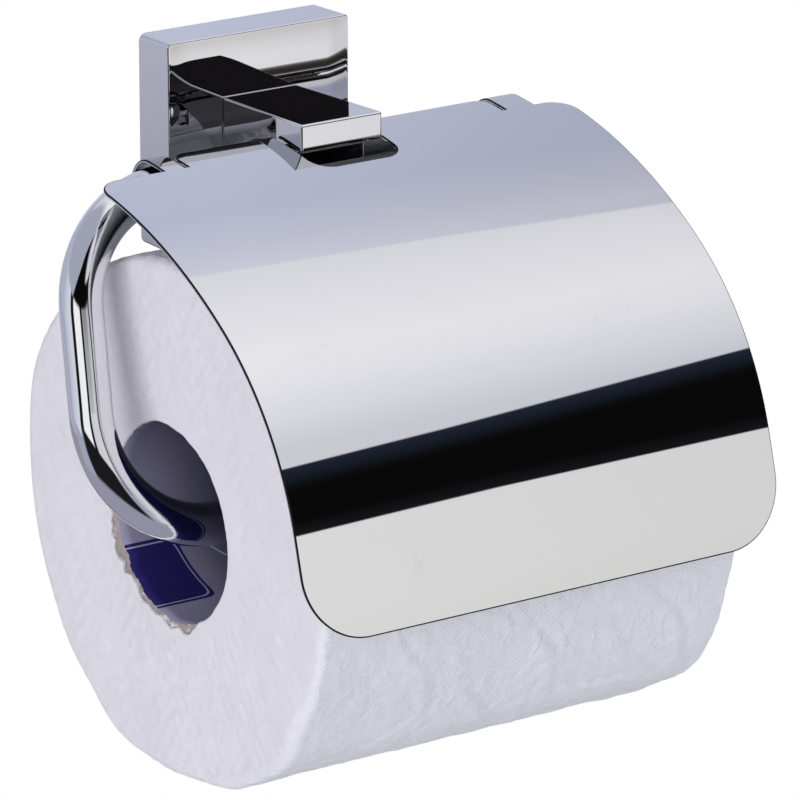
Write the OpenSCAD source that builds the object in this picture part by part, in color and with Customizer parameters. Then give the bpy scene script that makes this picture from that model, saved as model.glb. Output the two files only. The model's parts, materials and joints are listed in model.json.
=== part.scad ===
// Wall-mounted toilet paper holder: a square rosette carries a flat arm, the
// arm carries a bent round bar, and a curved sheet cover hinges on that bar.
// Origin: centre of the rosette's back, on the wall. +Y goes into the wall,
// -Y points to the user, +Z is up, +X is the user's right.

/* [Rosette] */
// Width and height of the square rosette
rosette_w = 45; // [44:0.5:60]
// Depth of the rosette from the wall to its front
rosette_depth = 11.3; // [11:0.1:14]
// Thickness of the rosette's side walls
rosette_wall = 1.8; // [1.2:0.1:2]
// Radius of the rosette's four long edges
rosette_corner = 1.4; // [0.5:0.1:1.7]

/* [Arm] */
// Width of the arm at its front end
arm_w = 20; // [18:0.5:21]
// Distance from the wall to the arm's front end
arm_reach = 41.2; // [40:0.1:44]
// Thickness of the arm's flat front part
arm_thick = 6; // [5:0.1:7]

/* [Bar] */
// Diameter of the bent round bar
bar_d = 9; // [8:0.1:9.2]
// Distance from the wall to the hinge leg of the bar
hinge_reach = 32; // [31:0.1:33]
// Radius of the bend beside the hinge, on the bar's centre line
upper_bend_r = 25; // [20:0.5:26]
// Radius of the bend that leads into the roll, on the centre line
lower_bend_r = 23.5; // [18:0.5:26]
// Angle that the handle's lower end leans out from the roll
handle_lean = 7.3; // [0:0.1:9]

/* [Cover] */
// Width of the cover from side to side
cover_w = 116.7; // [112:0.1:120]
// Thickness of the cover's sheet
sheet = 1; // [0.8:0.1:1.2]
// Outer radius of the cover's shallow rear sweep
rear_sweep_r = 108; // [104:1:112]
// Outer radius of the cover's tighter front sweep
front_sweep_r = 65; // [62:1:66]
// Length of the straight stretch above the cover's lower edge
lip_len = 22; // [18:1:26]
// Radius of the cover's two lower corners
lip_corner_r = 14; // [8:1:18]

/* [Roll] */
// Diameter of the full paper roll
roll_d = 108.8; // [60:0.1:108.8]
// Width of the paper roll
roll_w = 103; // [90:1:104]
// Inner diameter of the cardboard core
core_d = 41.6; // [38:0.1:45]

/* [Hidden] */
$fn = 96;

// Finishes
polished = [0.80, 0.81, 0.84];
plated = [0.66, 0.67, 0.69];
dark_steel = [0.30, 0.31, 0.33];

// Arm
arm_top_z = 9.85;
arm_bottom_z = arm_top_z - arm_thick;
arm_root_top_z = 9.3;
arm_root_w = arm_w - 1.4;
root_drop = 13.35;
gusset_start = 3.5;

// Hinge: the cover's curls run round the bar with a loose fit
hinge_y = -hinge_reach;
bar_sink = 0.05;
hinge_z = arm_bottom_z - bar_d / 2 + bar_sink;
curl_gap = 0.55;
curl_r = bar_d / 2 + curl_gap + sheet;

// Roll
roll_x = -0.3;
roll_y = -55;
roll_z = -63.3;
core_wall = 1;
core_proud = 0.4;

// Bar: it lies in the plane of the hinge axis and the roll's axis
bar_lean = atan2(hinge_y - roll_y, hinge_z - roll_z);
core_leg_drop = 68.5;
hinge_leg_left = -37.4;
hinge_leg_right = 51.2;
core_leg_right = 56.5;
bar_end_round = 1.2;
bend_thinning = 0.04;
leg_overlap = 0.4;
half_drop = core_leg_drop / 2;
handle_x = hinge_leg_left
    - (upper_bend_r - (upper_bend_r - half_drop) * sin(handle_lean)) / cos(handle_lean);
core_leg_left = handle_x
    + (lower_bend_r - (half_drop - lower_bend_r) * sin(handle_lean)) / cos(handle_lean);
handle_above = (half_drop - upper_bend_r * (1 - sin(handle_lean))) / cos(handle_lean);
handle_below = (half_drop - lower_bend_r * (1 + sin(handle_lean))) / cos(handle_lean);

// Cover: slopes are degrees below level, measured along the sheet
curl_slope = 6;
sweep_change_slope = 36;
lip_slope = 75;
rear_slope = -8;
tab_end_slope = -250;
ear_rear_y = -38.4;
ear_corner_r = 5.6;
left_tab = [-41.5, -36.4];
right_tab = [43.3, 50.7];
slit = 0.8;
mid_left = left_tab[1] + slit;
mid_right = right_tab[0] - slit;
mid_corner_r = 3.6;
slot_w = arm_w + 1.2;
slot_front_y = -48.6;
slot_corner_r = 4.5;

// Wall fixing
bracket_t = 2;
bracket_w = 34;
bracket_h = 30;
bracket_corner = 3;
fixing_spacing = 22;
fixing_slot_len = 7;
fixing_slot_r = 2.3;
hook_w = 24;
hook_reach = 6.5;
hook_rise = 2.5;
foot_w = 16;
foot_reach = 8;
bend_r = 2.4;

// Fasteners
m4_r = 2;
m4_clear_r = 2.25;
arm_screw_x = 4.6;
arm_screw_z = 1.5;
arm_screw_len = 11.2;
screw_head_r = 3.5;
screw_head_h = 2.4;
socket_flats = 2.5;
washer_r = 3.6;
washer_t = 0.9;
set_screw_y = -5.4;
set_screw_low = -22.2;
front_wall = 2.2;
inner_face_y = front_wall - rosette_depth;

// A point on a circle about the X direction: slope 0 is straight up, and
// growing slopes lean towards the user. Returned as [y, z].
function on_curve(centre, r, slope) =
    [centre[0] - r * sin(slope), centre[1] + r * cos(slope)];

hinge = [hinge_y, hinge_z];
rear_start = on_curve(hinge, curl_r, curl_slope);
rear_centre = on_curve(rear_start, -rear_sweep_r, curl_slope);
front_start = on_curve(rear_centre, rear_sweep_r, sweep_change_slope);
front_centre = on_curve(front_start, -front_sweep_r, sweep_change_slope);
lip_start = on_curve(front_centre, front_sweep_r, lip_slope);

// ---- shared shapes ----

// Rectangle with round corners, centred, made of true arcs
module round_rect(w, h, r) {
    square([w, h - 2 * r], center = true);
    square([w - 2 * r, h], center = true);
    for (sx = [-1, 1], sz = [-1, 1])
        translate([sx * (w / 2 - r), sz * (h / 2 - r)]) circle(r);
}

// Upright outline (X, Z) pushed from y_from towards the user
module plate_y(y_from, depth) {
    translate([0, y_from, 0]) rotate([90, 0, 0]) linear_extrude(depth) children();
}

// Side outline drawn in (Y, Z), made w wide and centred on X
module side_profile(w) {
    translate([-w / 2, 0, 0]) rotate([90, 0, 90]) linear_extrude(w) children();
}

// Moves in a coarse and a fine step, so that strips which meet end to end
// keep their shared edge to the last decimal
module place(v) {
    coarse = [for (c = v) round(c * 1000) / 1000];
    translate(coarse) translate(v - coarse) children();
}

// Cylinder along X from x_from to x_to
module rod_x(x_from, x_to, r) {
    translate([x_from, 0, 0]) rotate([0, 90, 0]) cylinder(h = x_to - x_from, r = r);
}

// Cylinder from y_from towards the user
module rod_y(y_from, len, r) {
    translate([0, y_from, 0]) rotate([90, 0, 0]) cylinder(h = len, r = r);
}

// ---- wall fixing ----

// Square shell, open to the wall, with a hook rail at the top and a boss for
// the set screw at the bottom
module rosette() {
    pocket = rosette_w - 2 * rosette_wall;
    rail_w = hook_w;
    rail_t = 1.8;
    rail_low = bracket_h / 2 + 0.1;
    boss_w = 9;
    boss_h = 3.2;
    color(polished)
    difference() {
        union() {
            difference() {
                plate_y(0, rosette_depth) round_rect(rosette_w, rosette_w, rosette_corner);
                plate_y(1, rosette_depth - front_wall + 1)
                    square([pocket, pocket], center = true);
            }
            translate([-rail_w / 2, -hook_reach + bracket_t + 0.1, rail_low])
                cube([rail_w, rail_t, pocket / 2 - rail_low + 0.2]);
            translate([-boss_w / 2, inner_face_y, -pocket / 2 - 0.2])
                cube([boss_w, -inner_face_y - 2.4, boss_h + 0.2]);
        }
        for (side = [-1, 1])
            translate([side * arm_screw_x, 0, arm_screw_z])
                rod_y(0, rosette_depth + 1, m4_clear_r);
        translate([0, set_screw_y, -rosette_w / 2 - 1]) cylinder(h = 8, r = m4_r);
    }
}

// Stamped bracket: a plate on the wall with a hook above and a foot below
module wall_bracket() {
    color(plated)
    difference() {
        union() {
            plate_y(0, bracket_t) round_rect(bracket_w, bracket_h, bracket_corner);
            side_profile(hook_w) hook_outline();
            side_profile(foot_w) foot_outline();
        }
        for (side = [-1, 1])
            translate([side * fixing_spacing / 2, 0, 0])
                plate_y(1, bracket_t + 2) slot_outline();
    }
}

module slot_outline() {
    run = fixing_slot_len / 2 - fixing_slot_r;
    square([2 * run, 2 * fixing_slot_r], center = true);
    for (side = [-1, 1]) translate([side * run, 0]) circle(fixing_slot_r);
}

// Quarter bend in (Y, Z) about a centre, filling the quadrant (sy, sz)
module quarter_bend(y, z, sy, sz) {
    translate([y, z]) intersection() {
        difference() {
            circle(bend_r);
            circle(bend_r - bracket_t);
        }
        translate([sy < 0 ? -bend_r : 0, sz < 0 ? -bend_r : 0]) square(bend_r);
    }
}

// Hook: forward from the plate's top edge, then up behind the rosette's rail
module hook_outline() {
    top = bracket_h / 2;
    translate([-bracket_t, 0]) square([bracket_t, top - bend_r]);
    quarter_bend(-bend_r, top - bend_r, 1, 1);
    translate([-hook_reach + bend_r, top - bracket_t])
        square([hook_reach - 2 * bend_r, bracket_t]);
    quarter_bend(-hook_reach + bend_r, top - bracket_t + bend_r, -1, -1);
    translate([-hook_reach, top - bracket_t + bend_r])
        square([bracket_t, hook_rise + bracket_t - bend_r]);
}

// Foot: forward from the plate's bottom edge, the seat of the set screw
module foot_outline() {
    low = -bracket_h / 2;
    translate([-bracket_t, low + bend_r]) square([bracket_t, bend_r]);
    quarter_bend(-bend_r, low + bend_r, 1, -1);
    translate([-foot_reach, low]) square([foot_reach - bend_r, bracket_t]);
}

// Headless screw that pulls the rosette down onto the bracket
module set_screw() {
    tip_z = -bracket_h / 2;
    point_h = 0.8;
    color(dark_steel)
    translate([0, set_screw_y, 0])
    difference() {
        union() {
            translate([0, 0, set_screw_low])
                cylinder(h = tip_z - point_h - set_screw_low, r = m4_r);
            translate([0, 0, tip_z - point_h])
                cylinder(h = point_h, r1 = m4_r, r2 = m4_r - point_h);
        }
        translate([0, 0, set_screw_low - 1])
            cylinder(h = 3.4, r = socket_flats / 2 / cos(30) * 0.8, $fn = 6);
    }
}

module arm_screws() {
    head_y = inner_face_y + washer_t;
    color(dark_steel)
    for (side = [-1, 1])
        translate([side * arm_screw_x, 0, arm_screw_z])
        difference() {
            union() {
                rod_y(head_y, arm_screw_len, m4_r);
                rod_y(head_y + screw_head_h, screw_head_h, screw_head_r);
            }
            rod_y(head_y + screw_head_h + 1, 2.5, socket_flats / 2 / cos(30), $fn = 6);
        }
}

module arm_washers() {
    color(plated)
    for (side = [-1, 1])
        translate([side * arm_screw_x, 0, arm_screw_z])
        difference() {
            rod_y(inner_face_y + washer_t, washer_t, washer_r);
            rod_y(inner_face_y + washer_t + 1, washer_t + 2, m4_clear_r);
        }
}

// ---- arm and bar ----

// Flat arm that thins from a deep root to a flat front, with a saddle below
// in which the bar is brazed
module arm() {
    saddle_w = 16;
    saddle_y = 5.6;
    root_y = -rosette_depth;
    gusset_y = hinge_y + gusset_start;
    run = root_y - gusset_y;
    gusset_r = (run * run + root_drop * root_drop) / (2 * root_drop);
    color(polished)
    difference() {
        union() {
            intersection() {
                side_profile(arm_w + 2) difference() {
                    polygon([[root_y, arm_bottom_z - root_drop], [root_y, arm_root_top_z],
                             [-arm_reach, arm_top_z], [-arm_reach, arm_bottom_z],
                             [gusset_y, arm_bottom_z], [gusset_y, arm_bottom_z - root_drop]]);
                    translate([gusset_y, arm_bottom_z - gusset_r]) circle(gusset_r);
                }
                translate([0, 0, -50]) linear_extrude(100)
                    polygon([[-arm_root_w / 2, root_y], [arm_root_w / 2, root_y],
                             [arm_w / 2, -arm_reach], [-arm_w / 2, -arm_reach]]);
            }
            translate([-saddle_w / 2, hinge_y - saddle_y, hinge_z])
                cube([saddle_w, 2 * saddle_y, arm_bottom_z - hinge_z + 0.5]);
        }
        translate([0, hinge_y, hinge_z]) rod_x(-20, 20, bar_d / 2);
        for (side = [-1, 1])
            translate([side * arm_screw_x, 0, arm_screw_z])
                rod_y(root_y + 1, arm_screw_len - front_wall + 1.3, m4_r);
    }
}

// Puts a shape drawn in (X, Z) about the hinge into the plane of the bar
module in_bar_plane() {
    translate([0, hinge_y, hinge_z]) rotate([-bar_lean, 0, 0]) children();
}

// Half outline of a bar end with a rounded rim, for revolving
module bar_end_outline(len) {
    r = bar_d / 2;
    square([r, len - bar_end_round]);
    square([r - bar_end_round, len]);
    translate([r - bar_end_round, len - bar_end_round]) circle(bar_end_round);
}

// Straight leg along +X from x_from, ending in a rounded rim at x_to
module bar_leg(x_from, x_to) {
    translate([x_from, 0, 0]) rotate([0, 90, 0]) rotate_extrude()
        intersection() {
            bar_end_outline(x_to - x_from);
            square([bar_d, x_to - x_from]);
        }
}

// Bend in the (X, Z) plane about a centre; the rod gets a little thinner in it
module bar_bend(centre, r, start, turn) {
    translate([centre[0], 0, centre[1]]) rotate([90, 0, 0])
        rotate_extrude(start = start, angle = turn)
            translate([r, 0]) circle(bar_d / 2 - bend_thinning);
}

// One rod: hinge leg, bend, handle, bend, and the leg that carries the roll
module roll_bar() {
    color(polished)
    in_bar_plane() {
        bar_leg(hinge_leg_left - leg_overlap, hinge_leg_right);
        bar_bend([hinge_leg_left, -upper_bend_r], upper_bend_r, 90, 90 - handle_lean);
        translate([handle_x, 0, -half_drop]) rotate([0, handle_lean, 0])
            translate([0, 0, -handle_below - leg_overlap])
                cylinder(h = handle_below + handle_above + 2 * leg_overlap, r = bar_d / 2);
        bar_bend([core_leg_left, -core_leg_drop + lower_bend_r], lower_bend_r,
                 180 - handle_lean, 90 + handle_lean);
        translate([0, 0, -core_leg_drop])
            bar_leg(core_leg_left - leg_overlap, core_leg_right);
    }
}

// ---- cover ----

// Curved strip of sheet about an X line, between two slopes and two X values
module curved_strip(centre, r_out, slope_from, slope_to, x_from, x_to) {
    place([x_from, centre[0], centre[1]]) rotate([90, 0, 90])
        rotate_extrude(start = 90 + slope_from, angle = slope_to - slope_from)
            translate([r_out - sheet, 0]) square([sheet, x_to - x_from]);
}

// Places a shape with its X across the cover, its Y up the lip from the lip's
// upper edge, and its Z out of it
module on_lip() {
    place([0, lip_start[0], lip_start[1]]) rotate([lip_slope, 0, 0]) children();
}

// Outline of the cover seen from above: ears, middle, two tabs, slot for the arm
module cover_plan() {
    half = cover_w / 2;
    far = -200;
    difference() {
        union() {
            translate([-half, far]) square([cover_w, ear_rear_y - ear_corner_r - far]);
            translate([-half + ear_corner_r, far])
                square([cover_w - 2 * ear_corner_r, ear_rear_y - far]);
            for (side = [-1, 1])
                translate([side * (half - ear_corner_r), ear_rear_y - ear_corner_r])
                    circle(ear_corner_r);
            mid_plan(mid_left, mid_right, on_curve(hinge, curl_r, rear_slope)[0]);
            for (tab = [left_tab, right_tab])
                translate([tab[0], ear_rear_y - 1]) square([tab[1] - tab[0], 30]);
        }
        slot_plan();
    }
}

// Middle stretch between the tabs, with rounded rear corners
module mid_plan(x_from, x_to, rear_y) {
    r = mid_corner_r;
    translate([x_from, ear_rear_y - 1]) square([x_to - x_from, rear_y - r - ear_rear_y + 1]);
    translate([x_from + r, ear_rear_y - 1]) square([x_to - x_from - 2 * r, 20]);
    for (x = [x_from + r, x_to - r]) translate([x, rear_y - r]) circle(r);
}

// Slot that lets the cover swing past the arm, open to the rear
module slot_plan() {
    r = slot_corner_r;
    translate([-slot_w / 2, slot_front_y + r]) square([slot_w, 60]);
    translate([-slot_w / 2 + r, slot_front_y]) square([slot_w - 2 * r, 60]);
    for (side = [-1, 1])
        translate([side * (slot_w / 2 - r), slot_front_y + r]) circle(r);
}

// Corner left over outside the lip's right rounded corner
module lip_corner_waste() {
    r = lip_corner_r;
    translate([cover_w / 2 - r, -lip_len]) difference() {
        translate([0, -1]) square([r + 1, r + 1]);
        translate([0, r]) circle(r);
    }
}

module cover() {
    half = cover_w / 2;
    color(polished)
    difference() {
        intersection() {
            union() {
                curved_strip(hinge, curl_r, rear_slope, curl_slope, mid_left, mid_right);
                for (tab = [left_tab, right_tab])
                    curved_strip(hinge, curl_r, tab_end_slope, curl_slope, tab[0], tab[1]);
                curved_strip(rear_centre, rear_sweep_r, curl_slope, sweep_change_slope,
                             -half, half);
                curved_strip(front_centre, front_sweep_r, sweep_change_slope, lip_slope,
                             -half, half);
                on_lip() translate([-half, -lip_len, -sheet])
                    cube([cover_w, lip_len, sheet]);
            }
            translate([0, 0, -100]) linear_extrude(150) cover_plan();
        }
        for (side = [0, 1]) mirror([side, 0, 0])
            on_lip() translate([0, 0, -5]) linear_extrude(10) lip_corner_waste();
    }
}

// ---- roll ----

module ring_x(x_from, x_to, r_out, r_in) {
    translate([0, roll_y, roll_z]) difference() {
        rod_x(x_from, x_to, r_out);
        rod_x(x_from - 1, x_to + 1, r_in);
    }
}

module core_tube() {
    half = roll_w / 2 + core_proud;
    color("tan") ring_x(roll_x - half, roll_x + half, core_d / 2 + core_wall, core_d / 2);
}

module paper_roll() {
    color("white")
        ring_x(roll_x - roll_w / 2, roll_x + roll_w / 2, roll_d / 2, core_d / 2 + core_wall);
}

rosette();
wall_bracket();
set_screw();
arm_screws();
arm_washers();
arm();
roll_bar();
cover();
core_tube();
paper_roll();
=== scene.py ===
"""Looks of a wall-mounted toilet paper holder with a hinged cover.

Every piece is a surface worked out with numpy from the holder's own sizes, in
millimetres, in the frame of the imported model: the origin is the centre of the
rosette's back, +X is to the right, +Y goes into the wall and +Z is up.
"""

import json
import logging
import math
from collections.abc import Sequence
from dataclasses import dataclass
from enum import IntEnum
from typing import ClassVar

import bpy
import numpy as np
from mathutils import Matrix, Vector

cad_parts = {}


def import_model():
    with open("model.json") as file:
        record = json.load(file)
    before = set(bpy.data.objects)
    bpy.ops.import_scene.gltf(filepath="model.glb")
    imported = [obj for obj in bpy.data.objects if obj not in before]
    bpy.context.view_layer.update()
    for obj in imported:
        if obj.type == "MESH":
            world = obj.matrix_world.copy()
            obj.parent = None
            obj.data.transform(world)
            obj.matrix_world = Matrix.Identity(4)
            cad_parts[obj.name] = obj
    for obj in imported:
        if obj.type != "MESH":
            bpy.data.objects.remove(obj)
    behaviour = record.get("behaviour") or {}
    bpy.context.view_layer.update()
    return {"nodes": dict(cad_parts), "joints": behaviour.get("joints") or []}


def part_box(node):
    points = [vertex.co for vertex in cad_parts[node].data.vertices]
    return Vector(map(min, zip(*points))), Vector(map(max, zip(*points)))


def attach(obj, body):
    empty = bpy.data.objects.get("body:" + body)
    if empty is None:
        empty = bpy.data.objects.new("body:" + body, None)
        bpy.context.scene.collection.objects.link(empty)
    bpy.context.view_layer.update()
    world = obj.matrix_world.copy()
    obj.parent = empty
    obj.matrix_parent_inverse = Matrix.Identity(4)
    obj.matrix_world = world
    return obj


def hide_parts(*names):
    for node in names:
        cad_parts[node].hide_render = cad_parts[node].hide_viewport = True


log = logging.getLogger("holder")
Array = np.ndarray
MM = 0.001
SHEET_MAP = "sheet"
WELDS_PER_MM = 1e4
FULL_TURN = 2.0 * math.pi


# ------ mesh tools


class Coat(IntEnum):
    """Which of its piece's finishes a patch wears."""

    FACE = 0
    CUT = 1


@dataclass
class Patch:
    """A grid of points with its outward normals.

    A grid that goes all the way round ends with its first row or column again.

    Attributes:
        points: array (rows, columns, 3), in millimetres.
        normals: array of the same shape, unit vectors.
        coat: the finish that the patch wears.
        laid: array (rows, columns, 2), each point's place on the flat sheet, in metres.
    """

    points: Array
    normals: Array
    coat: Coat = Coat.FACE
    laid: Array | None = None

    def quads(self) -> Array:
        """The patch's faces, turned to the side that its normals point to.

        Returns:
            Rows of four point numbers.
        """
        rows, columns = self.points.shape[:2]
        number = np.arange(rows * columns).reshape(rows, columns)
        a, b = number[:-1, :-1], number[:-1, 1:]
        c, d = number[1:, 1:], number[1:, :-1]
        flat, out = self.points.reshape(-1, 3), self.normals.reshape(-1, 3)
        facing = np.cross(flat[c] - flat[a], flat[d] - flat[b])
        order = (a, b, c, d) if np.sum(facing * out[a]) > 0 else (a, d, c, b)
        return np.stack([part.ravel() for part in order], axis=1)

    def sheet(self) -> Array:
        """Places on the flat sheet.

        Returns:
            Array (points, 2), zero where none were given.
        """
        if self.laid is None:
            return np.zeros((self.points.shape[0] * self.points.shape[1], 2))
        return self.laid.reshape(-1, 2)


def unit(vectors: Array) -> Array:
    """The vectors scaled to length one."""
    return vectors / np.maximum(np.linalg.norm(vectors, axis=-1, keepdims=True), 1e-12)


def difference(points: Array, axis: int) -> Array:
    """Half the step between each point's neighbours, also across the join of a
    grid whose first and last points are the same.

    Args:
        points: the grid's points.
        axis: the direction of the steps.

    Returns:
        The half steps, an array like points.
    """
    first, last = np.take(points, 0, axis), np.take(points, -1, axis)
    if not np.allclose(first, last):
        return np.gradient(points, axis=axis)
    ring = np.delete(points, -1, axis)
    step = (np.roll(ring, -1, axis) - np.roll(ring, 1, axis)) / 2.0
    return np.concatenate([step, np.take(step, [0], axis)], axis=axis)


def skin_normals(points: Array) -> Array:
    """Normals of a closed skin: the cross product of its two directions, turned
    so that the skin's volume comes out positive.

    Args:
        points: array (rows, columns, 3), in millimetres.

    Returns:
        Unit vectors, an array like points.
    """
    areas = np.cross(difference(points, 1), difference(points, 0))
    volume = np.sum((points - points.mean(axis=(0, 1))) * areas)
    return unit(areas) * math.copysign(1.0, volume)


def build(
    name: str, patches: Sequence[Patch], body: str, slot: str, *materials: bpy.types.Material
) -> bpy.types.Object:
    """Welds patches into one closed mesh with its own normals, and dresses it.

    Points that lie within a tenth of a micrometre of each other become one, and
    their normals are added up. Faces that lose a corner become triangles.

    Args:
        name: the piece's name.
        patches: the patches, whose edges meet.
        body: the body that the piece rides on.
        slot: the name of the record's material slot; not used.
        *materials: the materials of its coats.

    Returns:
        The new object.
    """
    starts = np.cumsum([0] + [p.points.shape[0] * p.points.shape[1] for p in patches])
    points = np.concatenate([p.points.reshape(-1, 3) for p in patches])
    normals = np.concatenate([p.normals.reshape(-1, 3) for p in patches])
    quads = np.concatenate([p.quads() + s for p, s in zip(patches, starts)])
    coats = np.concatenate([np.full(len(p.quads()), int(p.coat)) for p in patches])
    cells = np.round(points * WELDS_PER_MM).astype(np.int64)
    _, first, back = np.unique(cells, axis=0, return_index=True, return_inverse=True)
    back = back.reshape(-1)
    summed = np.zeros((len(first), 3))
    np.add.at(summed, back, normals)
    welded = back[quads]
    kept = welded != np.roll(welded, -1, axis=1)
    whole = kept.sum(axis=1) > 2
    kept, welded, quads, coats = kept[whole], welded[whole], quads[whole], coats[whole]
    mesh = bpy.data.meshes.new(name)
    mesh.vertices.add(len(first))
    mesh.vertices.foreach_set("co", (points[first] * MM).ravel())
    mesh.loops.add(int(kept.sum()))
    mesh.loops.foreach_set("vertex_index", welded[kept].astype(np.int32))
    mesh.polygons.add(len(kept))
    ends = np.cumsum(kept.sum(axis=1))
    mesh.polygons.foreach_set("loop_start", np.concatenate([[0], ends[:-1]]).astype(np.int32))
    mesh.polygons.foreach_set("material_index", coats.astype(np.int32))
    mesh.polygons.foreach_set("use_smooth", np.ones(len(kept), bool))
    if any(p.laid is not None for p in patches):
        sheet = np.concatenate([p.sheet() for p in patches])
        mesh.uv_layers.new(name=SHEET_MAP).data.foreach_set("uv", sheet[quads[kept]].ravel())
    mesh.update(calc_edges=True)
    mesh.normals_split_custom_set_from_vertices(unit(summed).tolist())
    piece = bpy.data.objects.new(name, mesh)
    bpy.context.scene.collection.objects.link(piece)
    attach(piece, body)
    dress(piece, *materials)
    log.info("%s: %d faces", name, len(kept))
    return piece


def dress(piece: bpy.types.Object, *materials: bpy.types.Material) -> None:
    """Puts materials into a piece's slots and keeps each face's slot.

    Args:
        piece: the piece.
        *materials: its materials, in the order of its slots.
    """
    mesh = piece.data
    slots = np.zeros(len(mesh.polygons), np.int32)
    mesh.polygons.foreach_get("material_index", slots)
    mesh.materials.clear()
    for material in materials:
        mesh.materials.append(material)
    mesh.polygons.foreach_set("material_index", slots)


def spread(start: float, end: float, step: float) -> Array:
    """Even values from start to end, at most step apart, both ends kept."""
    return np.linspace(start, end, max(2, int(math.ceil(abs(end - start) / step)) + 1))


def slopes(angle: Array) -> Array:
    """Pairs (sin a, cos a) of angles."""
    return np.stack([np.sin(angle), np.cos(angle)], axis=-1)


def around_circle(divisions: int) -> Array:
    """Angles once round a circle, the first one coming again last."""
    return np.linspace(0.0, FULL_TURN, divisions + 1)


def quarter(divisions: int) -> Array:
    """Angles of a quarter circle from 0 to 90 degrees, in radians."""
    return np.linspace(0.0, math.pi / 2.0, divisions + 1)


def smooth_step(value: Array) -> Array:
    """Rises from 0 to 1 without a kink as the value goes from 0 to 1."""
    held = np.clip(value, 0.0, 1.0)
    return held * held * (3.0 - 2.0 * held)


def lumps(along: Array, across: Array, seed: int, waves: int, shortest: float, longest: float) -> Array:
    """Smooth random lumps: a sum of sine waves in random directions.

    Args:
        along: first coordinate of each point, in millimetres.
        across: second coordinate.
        seed: which lumps.
        waves: how many waves are added up.
        shortest: shortest wavelength.
        longest: longest wavelength.

    Returns:
        Values between about -1 and 1, an array like along.
    """
    dice = np.random.default_rng(seed)
    length = np.exp(dice.uniform(math.log(shortest), math.log(longest), waves))
    way, start = dice.uniform(0.0, FULL_TURN, (2, waves))
    phase = (along[..., None] * np.cos(way) + across[..., None] * np.sin(way)) / length
    share = np.sqrt(length / length.sum())
    return np.sum(share * np.sin(FULL_TURN * phase + start), axis=-1)


def from_angle(degrees: Array, at: float) -> Array:
    """How far angles lie from one angle, between -180 and 180 degrees."""
    return (degrees - at + 180.0) % 360.0 - 180.0


def bell(distance: Array) -> Array:
    """A bell curve: one at no distance, and 1/e at a distance of one."""
    return np.exp(-(distance**2))


# ------ material tools


class Nodes:
    """Short ways to place and join the nodes of one material or group."""

    def __init__(self, tree: bpy.types.NodeTree) -> None:
        """Keeps the tree that the nodes go into."""
        self.tree = tree

    def add(self, kind: str, **settings: object) -> bpy.types.Node:
        """Places a node.

        Args:
            kind: the node's type.
            **settings: values for its properties.

        Returns:
            The node.
        """
        node = self.tree.nodes.new(kind)
        for name, value in settings.items():
            setattr(node, name, value)
        return node

    def put(self, socket: bpy.types.NodeSocket, value: object) -> None:
        """Joins an output to an input, or sets the input's own value.

        Args:
            socket: the input.
            value: an output, or a number or colour.
        """
        if isinstance(value, bpy.types.NodeSocket):
            self.tree.links.new(value, socket)
        else:
            socket.default_value = value

    def feed(self, node: bpy.types.Node, values: dict[str, object]) -> None:
        """Gives a node's inputs, by name, outputs, numbers or colours."""
        for name, value in values.items():
            self.put(node.inputs[name], value)

    def fed(self, kind: str, *values: object, **settings: object) -> list[bpy.types.NodeSocket]:
        """Adds a node and gives its first inputs their values.

        Args:
            kind: the node's type.
            *values: outputs, numbers or colours, in the order of the inputs.
            **settings: the node's properties.

        Returns:
            The node's outputs.
        """
        node = self.add(kind, **settings)
        for socket, value in zip(node.inputs, values):
            self.put(socket, value)
        return list(node.outputs)

    def split(self, vector: object) -> list[bpy.types.NodeSocket]:
        """The X, Y and Z of a vector."""
        return self.fed("ShaderNodeSeparateXYZ", vector)

    def math(self, operation: str, *values: object) -> bpy.types.NodeSocket:
        """The result of one sum of numbers or outputs."""
        return self.fed("ShaderNodeMath", *values, operation=operation)[0]

    def held(self, value: object, low: float, high: float) -> bpy.types.NodeSocket:
        """A value kept between two limits."""
        return self.math("MAXIMUM", self.math("MINIMUM", value, high), low)

    def step(self, value: object, low: object, high: object, *ends: object) -> bpy.types.NodeSocket:
        """A smooth step between two limits, from 0 to 1 or between the ends given."""
        values = (value, low, high, *(ends or (0.0, 1.0)))
        return self.fed("ShaderNodeMapRange", *values, interpolation_type="SMOOTHSTEP")[0]

    def edge(self, value: object, at: object, soft: float, *ends: object) -> bpy.types.NodeSocket:
        """A smooth step of a value from soft below a limit to soft above it."""
        low, high = self.math("SUBTRACT", at, soft), self.math("ADD", at, soft)
        return self.step(value, low, high, *ends)

    def noise(
        self, where: object, scale: object, detail: float = 2.0, rough: float = 0.5, **more: float
    ) -> bpy.types.NodeSocket:
        """Smooth noise between 0 and 1.

        Args:
            where: the coordinate output.
            scale: lumps per metre, a number or an output.
            detail: how many finer layers.
            rough: how strong the finer layers are.
            **more: other inputs, such as Distortion.

        Returns:
            The output.
        """
        node = self.add("ShaderNodeTexNoise")
        self.feed(node, {"Vector": where, "Scale": scale, "Detail": detail, "Roughness": rough, **more})
        return node.outputs[0]

    def mix(self, share: object, first: object, second: object) -> bpy.types.NodeSocket:
        """A colour between two colours.

        Args:
            share: how much of the second.
            first: the first colour.
            second: the second colour.

        Returns:
            The output.
        """
        node = self.add("ShaderNodeMix", data_type="RGBA")
        self.put(node.inputs[0], share)
        self.put(node.inputs[6], first)
        self.put(node.inputs[7], second)
        return node.outputs[2]

    def stretched(self, where: object, scale: Sequence[float]) -> bpy.types.NodeSocket:
        """Coordinates scaled along X, Y and Z.

        Args:
            where: the coordinate output.
            scale: three factors.

        Returns:
            The output.
        """
        node = self.add("ShaderNodeMapping")
        self.feed(node, {"Vector": where, "Scale": scale})
        return node.outputs[0]


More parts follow.
